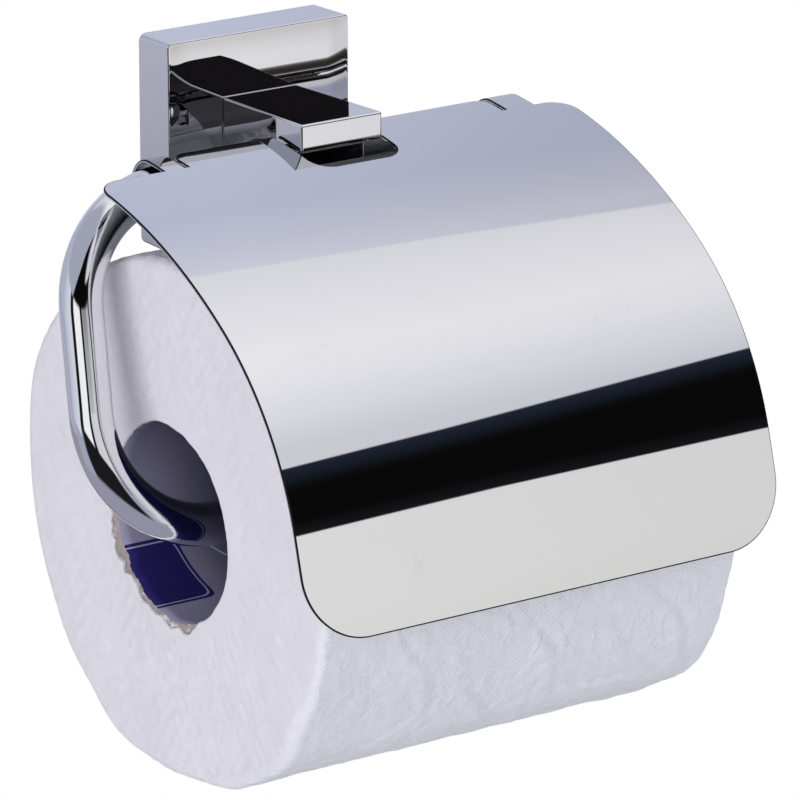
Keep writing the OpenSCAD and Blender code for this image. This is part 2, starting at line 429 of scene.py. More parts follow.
def new_group(
    name: str, inputs: dict[str, float], output: str
) -> tuple[bpy.types.NodeTree, Nodes, object, bpy.types.NodeSocket]:
    """A shader node group that takes a coordinate and numbers and gives a number.

    Args:
        name: the group's name.
        inputs: number inputs and their usual values.
        output: the number output's name.

    Returns:
        The group, its nodes, what it is given by name, and the socket of its result.
    """
    tree = bpy.data.node_groups.new(name, "ShaderNodeTree")
    tree.interface.new_socket("Where", in_out="INPUT", socket_type="NodeSocketVector")
    for label, value in inputs.items():
        socket = tree.interface.new_socket(label, in_out="INPUT", socket_type="NodeSocketFloat")
        socket.default_value = value
    tree.interface.new_socket(output, in_out="OUTPUT", socket_type="NodeSocketFloat")
    n = Nodes(tree)
    return tree, n, n.add("NodeGroupInput").outputs, n.add("NodeGroupOutput").inputs[0]


class Effects:
    """Shared effects, each a node group built once."""

    def __init__(self) -> None:
        """Builds every group."""
        self.handling = self._handling()
        self.waves = self._waves()
        self.scratches = self._scratches()

    @staticmethod
    def _handling() -> bpy.types.NodeTree:
        """Faint smears left by wiping and by fingers, as a mask.

        Returns:
            The group.
        """
        tree, n, given, result = new_group("handling_marks", {"Size": 30.0, "Cover": 0.55}, "Mask")
        broad = n.noise(given["Where"], given["Size"], 4.0, Distortion=1.2)
        fine = n.noise(given["Where"], 900.0, 3.0)
        smear = n.step(broad, given["Cover"], 0.75)
        n.put(result, n.math("MULTIPLY", smear, n.step(fine, 0.3, 0.7)))
        return tree

    @staticmethod
    def _waves() -> bpy.types.NodeTree:
        """The gentle lumps that hand buffing leaves, as a height in metres.

        Returns:
            The group.
        """
        tree, n, given, result = new_group("buffing_waves", {"Size": 60.0, "Depth": 1e-5}, "Height")
        broad = n.noise(given["Where"], given["Size"], 0.0)
        n.put(result, n.math("MULTIPLY", broad, given["Depth"]))
        return tree

    @staticmethod
    def _scratches() -> bpy.types.NodeTree:
        """Hair-fine wiping scratches in two directions, as a mask.

        Returns:
            The group.
        """
        tree, n, given, result = new_group("hair_scratches", {"Amount": 0.5}, "Mask")
        masks = []
        for turn, scale in ((0.5, (60.0, 5000.0, 5000.0)), (-0.9, (4000.0, 90.0, 4000.0))):
            mapping = n.add("ShaderNodeMapping")
            rotation = (turn, turn * 0.7, turn)
            n.feed(mapping, {"Vector": given["Where"], "Rotation": rotation, "Scale": scale})
            masks.append(n.step(n.noise(mapping.outputs[0], 1.0, 1.0), 0.68, 0.76))
        both = n.math("MAXIMUM", *masks)
        n.put(result, n.math("MULTIPLY", both, given["Amount"]))
        return tree


class Finish:
    """Base of the finishes: makes a material with a Principled shader."""

    name: str

    def start(self) -> tuple[bpy.types.Material, Nodes, bpy.types.Node, bpy.types.NodeSocket]:
        """Makes an empty material.

        Returns:
            The material, its nodes, its shader and its Object coordinates.
        """
        material = bpy.data.materials.new(self.name)
        material.use_nodes = True
        nodes = Nodes(material.node_tree)
        shader = material.node_tree.nodes["Principled BSDF"]
        where = nodes.add("ShaderNodeTexCoord").outputs["Object"]
        return material, nodes, shader, where

    def laid_out(self, nodes: Nodes) -> bpy.types.NodeSocket:
        """Places on the flat sheet, in metres."""
        return nodes.add("ShaderNodeUVMap", uv_map=SHEET_MAP).outputs[0]

    def effect(
        self, nodes: Nodes, group: bpy.types.NodeTree, where: object, **values: float
    ) -> bpy.types.NodeSocket:
        """Places a shared effect.

        Args:
            nodes: the material's nodes.
            group: the effect.
            where: the coordinate output.
            **values: the effect's numbers, by socket name.

        Returns:
            The group's mask or height.
        """
        node = nodes.add("ShaderNodeGroup", node_tree=group)
        nodes.feed(node, {"Where": where, **values})
        return node.outputs[0]

    def bumped(self, nodes: Nodes, height: object) -> bpy.types.NodeSocket:
        """The normal that a height in metres gives through a Bump node.

        Args:
            nodes: the material's nodes.
            height: the height.

        Returns:
            The output.
        """
        bump = nodes.add("ShaderNodeBump")
        nodes.feed(bump, {"Distance": 1.0, "Height": height})
        return bump.outputs[0]


@dataclass(frozen=True)
class MirrorSteel(Finish):
    """Stainless steel buffed to a mirror.

    Attributes:
        effects: the shared effects.
        name: the material's name.
        wave_size: lumps per metre left by buffing.
        wave_depth: their height in metres.
    """

    effects: Effects
    name: str = "mirror_steel"
    wave_size: float = 40.0
    wave_depth: float = 2e-5

    def material(self) -> bpy.types.Material:
        """Clear steel tone, slightly duller where it was handled.

        Returns:
            The material.
        """
        material, n, shader, where = self.start()
        marks = self.effect(n, self.effects.handling, where, Size=38.0, Cover=0.56)
        lines = self.effect(n, self.effects.scratches, where, Amount=0.35)
        dull = n.math("MAXIMUM", marks, lines)
        waves = self.effect(n, self.effects.waves, where, Size=self.wave_size, Depth=self.wave_depth)
        n.feed(shader, {
            "Metallic": 1.0,
            "Base Color": n.mix(dull, (0.885, 0.885, 0.900, 1.0), (0.850, 0.850, 0.868, 1.0)),
            "Roughness": n.step(dull, 0.0, 1.0, 0.018, 0.06),
            "Normal": self.bumped(n, waves),
        })
        return material


@dataclass(frozen=True)
class CutEdge(Finish):
    """The sheet's cut edge: rougher than its face, with painted shade that makes it nearly black."""

    name: str = "cut_edge_painted_shade"

    def material(self) -> bpy.types.Material:
        """Painted shade: nearly black, with the fine grain that shearing leaves.

        Returns:
            The material.
        """
        material, n, shader, where = self.start()
        grain = n.noise(where, 1500.0, 3.0)
        # Painted shade: the near-black tone and the low metallic keep the edge dark under any light; the
        # grain and roughness are the edge's own.
        n.feed(shader, {
            "Metallic": 0.3,
            "Specular IOR Level": 0.1,
            "Base Color": n.mix(grain, (0.004, 0.004, 0.005, 1.0), (0.02, 0.02, 0.022, 1.0)),
            "Roughness": n.step(grain, 0.2, 0.8, 0.35, 0.55),
            "Normal": self.bumped(n, n.math("MULTIPLY", grain, 2e-5)),
        })
        return material


@dataclass(frozen=True)
class PlatedSteel(Finish):
    """Zinc-plated sheet of the hidden bracket and washers."""

    name: str = "plated_steel"

    def material(self) -> bpy.types.Material:
        """Spangled grey with rolling lines.

        Returns:
            The material.
        """
        material, n, shader, where = self.start()
        spangle = n.noise(where, 420.0, 2.0)
        lines = n.noise(n.stretched(where, (40.0, 3000.0, 3000.0)), 1.0, 2.0)
        mask = n.math("MULTIPLY_ADD", lines, 0.4, n.math("MULTIPLY", spangle, 0.6))
        n.feed(shader, {
            "Metallic": 1.0,
            "Base Color": n.mix(mask, (0.52, 0.53, 0.56, 1.0), (0.72, 0.72, 0.74, 1.0)),
            "Roughness": n.step(mask, 0.2, 0.8, 0.28, 0.46),
            "Normal": self.bumped(n, n.math("MULTIPLY", lines, 1e-5)),
        })
        return material


@dataclass(frozen=True)
class BlackOxide(Finish):
    """Oiled black oxide of the small screws."""

    effects: Effects
    name: str = "black_oxide"

    def material(self) -> bpy.types.Material:
        """Blue-black with bright rubbed patches.

        Returns:
            The material.
        """
        material, n, shader, where = self.start()
        rub = self.effect(n, self.effects.handling, where, Size=300.0, Cover=0.5)
        n.feed(shader, {
            "Metallic": 1.0,
            "Base Color": n.mix(rub, (0.055, 0.057, 0.065, 1.0), (0.30, 0.30, 0.32, 1.0)),
            "Roughness": n.step(n.noise(where, 800.0), 0.3, 0.7, 0.3, 0.48),
        })
        return material


@dataclass(frozen=True)
class Tissue(Finish):
    """Embossed tissue on the outside of the roll.

    Attributes:
        name: the material's name.
        pitch: distance between embossed dots, in metres.
    """

    name: str = "tissue"
    pitch: float = 0.0010

    def material(self) -> bpy.types.Material:
        """Rows of small dots that follow the sheet, soft fibres, crumples, and
        thin folds where the noise crosses its middle.

        Returns:
            The material.
        """
        material, n, shader, where = self.start()
        across, along, _ = n.split(self.laid_out(n))
        turns = (n.math("MULTIPLY", place, FULL_TURN / self.pitch) for place in (across, along))
        dots = n.math("MULTIPLY", *(n.math("SINE", turn) for turn in turns))
        fibres = n.noise(where, 2600.0, 4.0, 0.65)
        patches = n.noise(where, 45.0, 2.0)
        crumple = n.noise(where, 320.0, 3.0, 0.6)
        strength = n.step(patches, 0.3, 0.7, 1.0e-5, 3.6e-5)
        fold = n.noise(n.stretched(where, (150.0, 90.0, 110.0)), 1.0, 2.0, 0.55)
        ridge = n.step(n.math("ABSOLUTE", n.math("SUBTRACT", fold, 0.5)), 0.0, 0.11)
        height = n.math(
            "MULTIPLY_ADD", dots, strength,
            n.math("MULTIPLY_ADD", fibres, 1.2e-4, n.math("MULTIPLY", crumple, 4.5e-4)),
        )
        height = n.math("MULTIPLY_ADD", ridge, n.step(patches, 0.35, 0.65, -0.4e-4, -1.9e-4), height)
        n.feed(shader, {
            "Sheen Weight": 0.15,
            "Sheen Roughness": 0.6,
            "Specular IOR Level": 0.2,
            "Base Color": n.mix(n.step(fibres, 0.3, 0.7), (0.815, 0.84, 0.90, 1.0), (0.87, 0.89, 0.935, 1.0)),
            "Roughness": n.step(fibres, 0.0, 1.0, 0.85, 1.0),
            "Normal": self.bumped(n, height),
        })
        return material


@dataclass(frozen=True)
class SheetEnds(Finish):
    """The cut ends of the wound layers, seen on the roll's two faces."""

    name: str = "sheet_ends"

    def material(self) -> bpy.types.Material:
        """Very fine rings round the core with soft lumps.

        Returns:
            The material.
        """
        material, n, shader, where = self.start()
        rings = n.noise(n.stretched(self.laid_out(n), (14.0, 4200.0, 1.0)), 1.0, 2.0, 0.6)
        fibres = n.noise(where, 1800.0, 4.0, 0.6)
        soft = n.noise(where, 70.0, 2.0)
        mask = n.math("MULTIPLY_ADD", rings, 0.5, n.math("MULTIPLY", fibres, 0.5))
        base = n.mix(n.step(soft, 0.3, 0.7), (0.825, 0.815, 0.88, 1.0), (0.855, 0.845, 0.90, 1.0))
        n.feed(shader, {
            "Specular IOR Level": 0.15,
            "Base Color": n.mix(n.step(mask, 0.3, 0.55), (0.80, 0.79, 0.85, 1.0), base),
            "Roughness": n.step(mask, 0.0, 1.0, 0.9, 1.0),
            "Normal": self.bumped(n, n.math("MULTIPLY", mask, 1.5e-4)),
        })
        return material


@dataclass(frozen=True)
class CorePaper(Finish):
    """Printed paper lining of the core, with one seam wound along it.

    Attributes:
        name: the material's name.
        seam: where the seam crosses, in metres along and round added up.
        girth: length round the bore, in metres.
        panels: the middle of each printed panel round the bore, and half its
            length there, in metres.
        panel_end: how far in the panels reach along the core, in metres.
        panel_skew: how far that end leans per metre round the bore.
        panel_corner: how softly a panel's corners are rounded, in metres.
        line_inset: how far inside a panel's edge its pale line runs.
    """

    name: str = "core_lining"
    seam: float = 0.0852
    girth: float = 0.1307
    panels: tuple[tuple[float, float], ...] = ((0.1122, 0.0083), (0.0596, 0.0325))
    panel_end: float = -0.0372
    panel_skew: float = 0.16
    panel_corner: float = 0.004
    line_inset: float = 0.0009

    def material(self) -> bpy.types.Material:
        """Lavender paper with painted shade deep inside and overhead, a thin pale
        seam and plain dark blue panels that each have a pale line inside their edge.

        Returns:
            The material.
        """
        material, n, shader, where = self.start()
        along, round_, _ = n.split(self.laid_out(n))
        turns = n.math("DIVIDE", n.math("SUBTRACT", n.math("ADD", along, round_), self.seam), self.girth)
        off = n.math("ABSOLUTE", n.math("SUBTRACT", n.math("FRACT", n.math("ADD", turns, 0.5)), 0.5))
        seam = n.step(off, 0.0010, 0.0018, 1.0, 0.0)
        depth = n.math("MAXIMUM", *(self.panel(n, along, round_, *place) for place in self.panels))
        panel = n.step(depth, 0.0, 0.00012)
        off_line = n.math("ABSOLUTE", n.math("SUBTRACT", depth, self.line_inset))
        line = n.step(off_line, 0.00010, 0.00020, 1.0, 0.0)
        fibres = n.noise(where, 900.0, 4.0, 0.6)
        paper = n.mix(fibres, (0.33, 0.31, 0.46, 1.0), (0.40, 0.38, 0.54, 1.0))
        # Painted shade: towards the top of the bore, and deep inside away from both ends, the paper is mixed
        # towards a dark tone.
        from_top = n.math("ABSOLUTE", n.math("SUBTRACT", round_, 0.25 * self.girth))
        near_end = n.step(n.math("ABSOLUTE", along), 0.020, 0.044)
        painted_light_share = n.math("MULTIPLY", near_end, n.step(from_top, 0.006, 0.034, 0.25, 1.0))
        base = n.mix(painted_light_share, (0.06, 0.06, 0.10, 1.0), paper)
        ink = n.mix(line, (0.022, 0.018, 0.14, 1.0), (0.42, 0.43, 0.60, 1.0))
        height = n.math("MULTIPLY_ADD", seam, -1e-4, n.math("MULTIPLY", fibres, 4e-5))
        n.feed(shader, {
            "Specular IOR Level": 0.25,
            "Base Color": n.mix(seam, n.mix(panel, base, ink), (0.72, 0.72, 0.80, 1.0)),
            "Roughness": n.step(fibres, 0.0, 1.0, 0.6, 0.8),
            "Normal": self.bumped(n, height),
        })
        return material

    def panel(self, n: Nodes, along: object, round_: object, at: float, half: float) -> bpy.types.NodeSocket:
        """How far inside a printed panel a place lies, in metres.

        Args:
            n: the material's nodes.
            along: place along the core.
            round_: place round the bore.
            at: the panel's middle round the bore.
            half: half its length round the bore.

        Returns:
            The depth, negative outside the panel.
        """
        offset = n.math("SUBTRACT", round_, at)
        skewed = n.math("MULTIPLY_ADD", offset, self.panel_skew, along)
        inwards = n.math("SUBTRACT", self.panel_end, skewed)
        sideways = n.math("SUBTRACT", half, n.math("ABSOLUTE", offset))
        return n.math("SMOOTH_MIN", inwards, sideways, self.panel_corner)


@dataclass(frozen=True)
class TornBoard(Finish):
    """Torn end of the cardboard core."""

    name: str = "torn_board"

    def material(self) -> bpy.types.Material:
        """Beige fibres with paler fluff.

        Returns:
            The material.
        """
        material, n, shader, where = self.start()
        fibres = n.noise(where, 1600.0, 5.0, 0.7)
        fluff = n.noise(where, 500.0, 3.0)
        brown = n.mix(fibres, (0.26, 0.21, 0.20, 1.0), (0.66, 0.58, 0.56, 1.0))
        n.feed(shader, {
            "Specular IOR Level": 0.1,
            "Base Color": n.mix(n.step(fluff, 0.54, 0.62), brown, (0.80, 0.77, 0.78, 1.0)),
            "Roughness": n.step(fibres, 0.0, 1.0, 0.85, 1.0),
            "Normal": self.bumped(n, n.math("MULTIPLY", fibres, 3e-4)),
        })
        return material


@dataclass(frozen=True)
class Workshop:
    """Every finish of the holder, made once."""

    sheet: bpy.types.Material
    bar: bpy.types.Material
    block: bpy.types.Material
    edge: bpy.types.Material
    plated: bpy.types.Material
    oxide: bpy.types.Material
    tissue: bpy.types.Material
    ends: bpy.types.Material
    lining: bpy.types.Material
    torn: bpy.types.Material

    @classmethod
    def open(cls) -> "Workshop":
        """Builds the effects and the finishes.

        Returns:
            The finishes.
        """
        effects = Effects()
        return cls(
            sheet=MirrorSteel(effects, "mirror_sheet", 22.0, 1.2e-5).material(),
            bar=MirrorSteel(effects, "mirror_bar", 90.0, 1.2e-5).material(),
            block=MirrorSteel(effects, "mirror_block", 70.0, 1.5e-5).material(),
            edge=CutEdge().material(),
            plated=PlatedSteel().material(),
            oxide=BlackOxide(effects).material(),
            tissue=Tissue().material(),
            ends=SheetEnds().material(),
            lining=CorePaper().material(),
            torn=TornBoard().material(),
        )


# ------ the roll bar


@dataclass
class RollBar:
    """One bent rod: hinge leg, bend, leaning handle, bend, and the roll's leg.

    Places in the bar's own plane are (distance right, distance down).

    Attributes:
        hinge: a point on the hinge leg's centre line.
        radius: the rod's radius.
        handle_lean: how far the handle leans to the right going down, in degrees.
        hinge_right, hinge_left: the hinge leg's free end and its end at the bend.
        upper_bend, lower_bend: the bends' radii, on the centre line.
        core_right: the free end of the roll's leg.
        end_round: radius of the rim at each free end.
        around: divisions round the rod.
        drop: distance between the two legs.
        slope: how far the bar's plane leans forwards, in radians.
    """

    hinge: Array
    radius: float = 4.5
    handle_lean: float = 7.3
    hinge_right: float = 51.2
    hinge_left: float = -37.4
    upper_bend: float = 25.0
    lower_bend: float = 23.5
    core_right: float = 56.5
    end_round: float = 1.2
    around: int = 96
    drop: float = 68.5
    slope: float = math.atan2(23.0, 62.7)

    def line(self) -> tuple[Array, Array]:
        """Centre line and directions in the bar's own plane.

        Each bend is a circle about its own centre, and the handle is the
        straight line that touches both.

        Returns:
            Points (count, 2) as distance right and distance down, and unit
            directions of travel, from the free end of the hinge leg onwards.
        """
        lean = math.radians(self.handle_lean)
        half = self.drop / 2.0
        reach_up = self.upper_bend - (self.upper_bend - half) * math.sin(lean)
        reach_down = self.lower_bend - (half - self.lower_bend) * math.sin(lean)
        core_left = self.hinge_left + (reach_down - reach_up) / math.cos(lean)
        first = np.radians(spread(0.0, 90.0 - self.handle_lean, 1.5))
        second = np.radians(spread(-self.handle_lean, 90.0, 1.5))
        hinge_x = spread(self.hinge_right - self.end_round, self.hinge_left, 3.0)
        core_x = spread(core_left, self.core_right - self.end_round, 3.0)
        upper = np.array([self.hinge_left, self.upper_bend]) - self.upper_bend * slopes(first)
        lower_centre = np.array([core_left, self.drop - self.lower_bend])
        lower = lower_centre + self.lower_bend * np.stack([-np.cos(second), np.sin(second)], axis=1)
        share = np.linspace(0.0, 1.0, 24)[:, None]
        parts = [
            (np.stack([hinge_x, 0 * hinge_x], axis=1), np.array([-1.0, 0.0])),
            (upper, np.stack([-np.cos(first), np.sin(first)], axis=1)),
            (upper[-1] * (1 - share) + lower[0] * share, np.array([-math.sin(lean), math.cos(lean)])),
            (lower, np.stack([np.sin(second), np.cos(second)], axis=1)),
            (np.stack([core_x, 0 * core_x + self.drop], axis=1), np.array([1.0, 0.0])),
        ]
        places, ways = [], []
        for k, (place, way) in enumerate(parts):
            fresh = slice(min(k, 1), None)
            places.append(place[fresh])
            ways.append(np.broadcast_to(way, place.shape)[fresh])
        return np.concatenate(places), np.concatenate(ways)

    def mesh(self) -> list[Patch]:
        """A circle carried along the centre line, with a rounded rim and a flat
        face at each end: each ring is centre + r (cos a . side + sin a . front).

        Returns:
            The rod's skin.
        """
        points, ways = self.line()
        rim = np.radians(np.linspace(90.0, 0.0, 7))
        inner = self.radius - self.end_round
        start_ring = np.concatenate([[0.0, 0.5 * inner], inner + self.end_round * np.cos(rim)])
        middle_ring = np.full(len(points) - 2, self.radius)
        ring = np.concatenate([start_ring, middle_ring, start_ring[::-1]])
        start_turn = np.concatenate([[1.0, 1.0], np.sin(rim)])
        sunk = np.concatenate([start_turn, 0 * middle_ring, start_turn[::-1]])
        push = self.end_round * start_turn[:, None]
        start, end = points[0] - ways[0] * push, points[-1] + ways[-1] * push[::-1]
        centres = np.concatenate([start, points[1:-1], end])
        first, last = (np.tile(way, (len(start_ring), 1)) for way in (ways[0], ways[-1]))
        travel = np.concatenate([first, ways[1:-1], last])
        side = np.stack([-travel[:, 1], travel[:, 0]], axis=1)
        a = around_circle(self.around)
        flat = centres[:, None, :] + ring[:, None, None] * np.cos(a)[None, :, None] * side[:, None, :]
        out = ring[:, None] * np.sin(a)[None, :]
        grid = self.turned(flat, out) + np.array([0.0, *self.hinge[1:]])
        way = np.where(np.arange(len(ring)) < len(ring) // 2, -1.0, 1.0)
        radial = self.turned(np.cos(a)[None, :, None] * side[:, None, :], np.sin(a)[None, :] + 0 * out)
        axial = self.turned(travel[:, None, :] + 0 * flat, 0 * out)
        normals = unit(radial * np.sqrt(1 - sunk**2)[:, None, None] + axial * (sunk * way)[:, None, None])
        return [Patch(grid, normals)]

    def turned(self, flat: Array, out: Array) -> Array:
        """Vectors of the bar's plane, and their share out of it, in the frame.

        Args:
            flat: array (..., 2), distance right and distance down.
            out: array (...), how far in front of the plane.

        Returns:
            Array (..., 3).
        """
        sine, cosine = math.sin(self.slope), math.cos(self.slope)
        across, down = flat[..., 0], flat[..., 1]
        return np.stack([across, -down * sine - out * cosine, -down * cosine + out * sine], axis=-1)

    def make(self, shop: Workshop) -> None:
        """Builds and dresses the bar."""
        piece = build("roll_bar_polished", self.mesh(), "holder", "polished_steel", shop.bar)
        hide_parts("roll_bar")


# ------ the cover


@dataclass
class Cover:
    """Sheet cover: two sweeps, a straight lip, ears, a slot and curled tabs.

    Places on the sheet are (x, u): x across the cover, and u along its outer
    face from where the curl ends towards the lip, both in millimetres. Slopes
    are in degrees below level towards the front.

    Attributes:
        hinge: the hinge line's (y, z).
        half: half the cover's width.
        sheet: its thickness.
        curl, curl_slope: outer radius of the curl, and the slope where it ends.
        rear_sweep, change_slope: radius of the flatter sweep, slope at its end.
        front_sweep, lip_slope: radius of the closer sweep, slope at its end.
        lip, lip_corner: length of the straight lip, radius of its corners.
        tab_end, rear_slope: slopes at the tabs' ends and at the edge between them.
        ear_y, ear_corner: where the ears begin, radius of their corners.
        left_tab, right_tab: the two sides of each tab.
        slit, middle_corner: gap beside a tab, radius of the corners between them.
        slot_half, slot_y, slot_corner: half the slot's width, its end, its corners.
        rounding: rounding of the cut edges.
        COLUMNS: divisions of each stretch across the cover, from the side in.
        CORNER_STEPS, LIP_STEPS, RIM_STEPS: divisions of a small corner, of the
            lip's corners and of the cut edges' rounding.
    """

    COLUMNS: ClassVar[dict[str, int]] = {"ear": 10, "tab": 8, "slit": 2, "middle": 24, "slot": 14}
    CORNER_STEPS: ClassVar[int] = 12
    LIP_STEPS: ClassVar[int] = 32
    RIM_STEPS: ClassVar[int] = 4

    hinge: Array
    half: float = 58.35
    sheet: float = 0.75
    curl: float = 6.05
    curl_slope: float = 6.0
    rear_sweep: float = 108.0
    change_slope: float = 36.0
    front_sweep: float = 65.0
    lip_slope: float = 75.0
    lip: float = 22.0
    lip_corner: float = 14.0
    tab_end: float = -250.0
    rear_slope: float = -8.0
    ear_y: float = -38.4
    ear_corner: float = 5.6
    left_tab: tuple[float, float] = (-41.5, -36.4)
    right_tab: tuple[float, float] = (43.3, 50.7)
    slit: float = 0.8
    middle_corner: float = 3.6
    slot_half: float = 10.6
    slot_y: float = -48.6
    slot_corner: float = 4.5
    rounding: float = 0.30

    def __post_init__(self) -> None:
        """Works out where the stretches of the profile begin."""
        rad = math.radians
        self.rear_len = self.rear_sweep * rad(self.change_slope - self.curl_slope)
        self.front_len = self.front_sweep * rad(self.lip_slope - self.change_slope)
        self.length = self.rear_len + self.front_len + self.lip
        self.u_tab = self.curl * rad(self.tab_end - self.curl_slope)
        self.u_middle = self.curl * rad(self.rear_slope - self.curl_slope)
        self.u_ear = self.at_y(self.ear_y)
        self.u_slot = self.at_y(self.slot_y)

    def at_y(self, y: float) -> float:
        """The u at which the rear sweep reaches a given y.

        Args:
            y: the place along Y.

        Returns:
            The u.
        """
        start = self.hinge[0] - self.curl * math.sin(math.radians(self.curl_slope))
        sine = math.sin(math.radians(self.curl_slope)) + (start - y) / self.rear_sweep
        return self.rear_sweep * (math.asin(sine) - math.radians(self.curl_slope))

    def slope(self, u: Array) -> Array:
        """Slope of the sheet at u: it grows evenly within each arc.

        Args:
            u: places along the sheet.

        Returns:
            The slopes in radians.
        """
        first = math.radians(self.curl_slope)
        rear = first + np.clip(u, 0.0, self.rear_len) / self.rear_sweep
        front = np.clip(u - self.rear_len, 0.0, self.front_len) / self.front_sweep
        return rear + front + np.minimum(u, 0.0) / self.curl

    def profile(self, u: Array) -> Array:
        """Outer face at u: each arc goes round its centre, and the lip runs
        straight on.

        Args:
            u: places along the sheet.

        Returns:
            Array (..., 2) of y and z.
        """

        def on(centre: Array, r: float, angle: Array) -> Array:
            """Point on a circle; angle 0 is straight up."""
            return centre + r * np.stack([-np.sin(angle), np.cos(angle)], axis=-1)

        angle = self.slope(u)
        s0, s1, s2 = (math.radians(s) for s in (self.curl_slope, self.change_slope, self.lip_slope))
        hinge = self.hinge
        rear_centre = on(on(hinge, self.curl, s0), -self.rear_sweep, s0)
        front_centre = on(on(rear_centre, self.rear_sweep, s1), -self.front_sweep, s1)
        lip_start = on(front_centre, self.front_sweep, s2)
        past = (u - self.rear_len - self.front_len)[..., None]
        lip = lip_start + past * np.array([-math.cos(s2), -math.sin(s2)])
        rear, front = on(rear_centre, self.rear_sweep, angle), on(front_centre, self.front_sweep, angle)
        curled = on(hinge, self.curl, angle)
        place = np.where((u < 0)[..., None], curled, rear)
        place = np.where((u > self.rear_len)[..., None], front, place)
        return np.where(past > 0, lip, place)

    def raised(self, flat: Array, depth: float) -> Array:
        """Places on the sheet, sunk below its outer face.

        Args:
            flat: array (..., 2) of x and u.
            depth: how far below the outer face.

        Returns:
            Array (..., 3) of points.
        """
        x, u = flat[..., 0], flat[..., 1]
        angle = self.slope(u)
        yz = self.profile(u) + depth * np.stack([np.sin(angle), -np.cos(angle)], axis=-1)
        return np.concatenate([x[..., None], yz], axis=-1)

    def outward(self, flat: Array) -> Array:
        """Outward normals of the outer face at (x, u)."""
        angle = self.slope(flat[..., 1])
        return np.stack([0 * angle, -np.sin(angle), np.cos(angle)], axis=-1)

    def in_sheet(self, sides: Array, flat: Array) -> Array:
        """Directions that lie in the sheet, turned into the frame.

        Args:
            sides: array (..., 2), the directions along x and u.
            flat: their places, array (..., 2) of x and u.

        Returns:
            Array (..., 3).
        """
        angle = self.slope(flat[..., 1])
        along = sides[..., 1]
        return np.stack([sides[..., 0], -along * np.cos(angle), -along * np.sin(angle)], axis=-1)

    def rows(self, e: float) -> dict[str, Array]:
        """The u of every row of points, with the outline drawn in by e.

        Args:
            e: how far inside the true outline.

        Returns:
            Row places by stretch: ears, slot corner, sweep and lip.
        """
        turn = quarter(self.CORNER_STEPS)
        ears = self.u_ear + self.ear_corner - (self.ear_corner - e) * np.cos(turn)
        corner = self.u_slot - self.slot_corner + (self.slot_corner + e) * np.sin(turn)
        lip_from = self.length - self.lip_corner
        lip = lip_from + (self.lip_corner - e) * np.sin(quarter(self.LIP_STEPS))
        bend = self.rear_len + self.front_len
        sweep = np.concatenate(
            [
                np.linspace(self.u_slot + e, self.u_slot + 1.0, 3)[1:],
                spread(self.u_slot + 1.0, self.rear_len, 1.1)[1:],
                spread(self.rear_len, bend, 0.75)[1:],
                spread(bend, lip_from, 2.0)[1:],
            ]
        )
        return {"ears": ears, "corner": corner, "sweep": sweep, "lip": lip[1:]}

    def blocks(self, e: float) -> dict[str, Array]:
        """Every block of the sheet as a grid of (x, u), drawn in by e.

        Args:
            e: how far inside the true outline.

        Returns:
            Grids by name; the counts of rows and columns don't depend on e.
        """
        r = self.rows(e)
        upper = np.concatenate([r["ears"], r["corner"]])
        lower = np.concatenate([upper[-1:], r["sweep"], r["lip"]])
        turn = quarter(self.CORNER_STEPS)
        ear_x = self.half - self.ear_corner + (self.ear_corner - e) * np.sin(turn)
        upper_side = np.concatenate([ear_x, np.full(len(turn), self.half - e)])
        slot_x = self.slot_half - self.slot_corner
        slot_turn = slot_x + (self.slot_corner + e) * np.cos(turn)
        slot_side = np.concatenate([np.full(len(turn), self.slot_half + e), slot_turn])
        lip_angle = quarter(self.LIP_STEPS)[1:]
        lip_x = self.half - self.lip_corner + (self.lip_corner - e) * np.cos(lip_angle)
        lower_side = np.concatenate([np.full(len(lower) - len(lip_x), self.half - e), lip_x])
        shrink = lower_side / (self.half - e)
        middle = (self.left_tab[1] + self.slit + e, self.right_tab[0] - self.slit - e)
        left = [self.left_tab[0] + e, self.left_tab[1] - e, middle[0]]
        right = [middle[1], self.right_tab[0] + e, self.right_tab[1] - e]
        ear_row = self.u_ear + e
        tab_rows = np.concatenate([np.linspace(self.u_tab + e, 0.0, 60), np.linspace(0.0, ear_row, 7)[1:]])
        corner = self.u_middle + self.middle_corner - (self.middle_corner - e) * np.cos(turn)
        straight = np.linspace(self.u_middle + self.middle_corner, ear_row, 5)[1:]
        back = np.concatenate([corner, straight])
        pull = np.concatenate([(self.middle_corner - e) * (1 - np.sin(turn)), 0 * straight])
        inner = [*left, -slot_x, slot_x, *right]
        lower_edges = [-lower_side, *[x * shrink for x in inner], lower_side]
        side = ["ear", "tab", "slit", "middle"]
        fan = self.fan
        return {
            "upper_left": fan(upper, [-upper_side, *left, -slot_side], side),
            "upper_right": fan(upper, [slot_side, *right, upper_side], side[::-1]),
            "lower": fan(lower, lower_edges, [*side, "slot", *side[::-1]]),
            "left_tab": fan(tab_rows, left[:2], ["tab"]),
            "right_tab": fan(tab_rows, right[1:], ["tab"]),
            "left_middle": fan(back, [left[2] + pull, -self.slot_half - e], ["middle"]),
            "right_middle": fan(back, [self.slot_half + e, right[0] - pull], ["middle"]),
        }

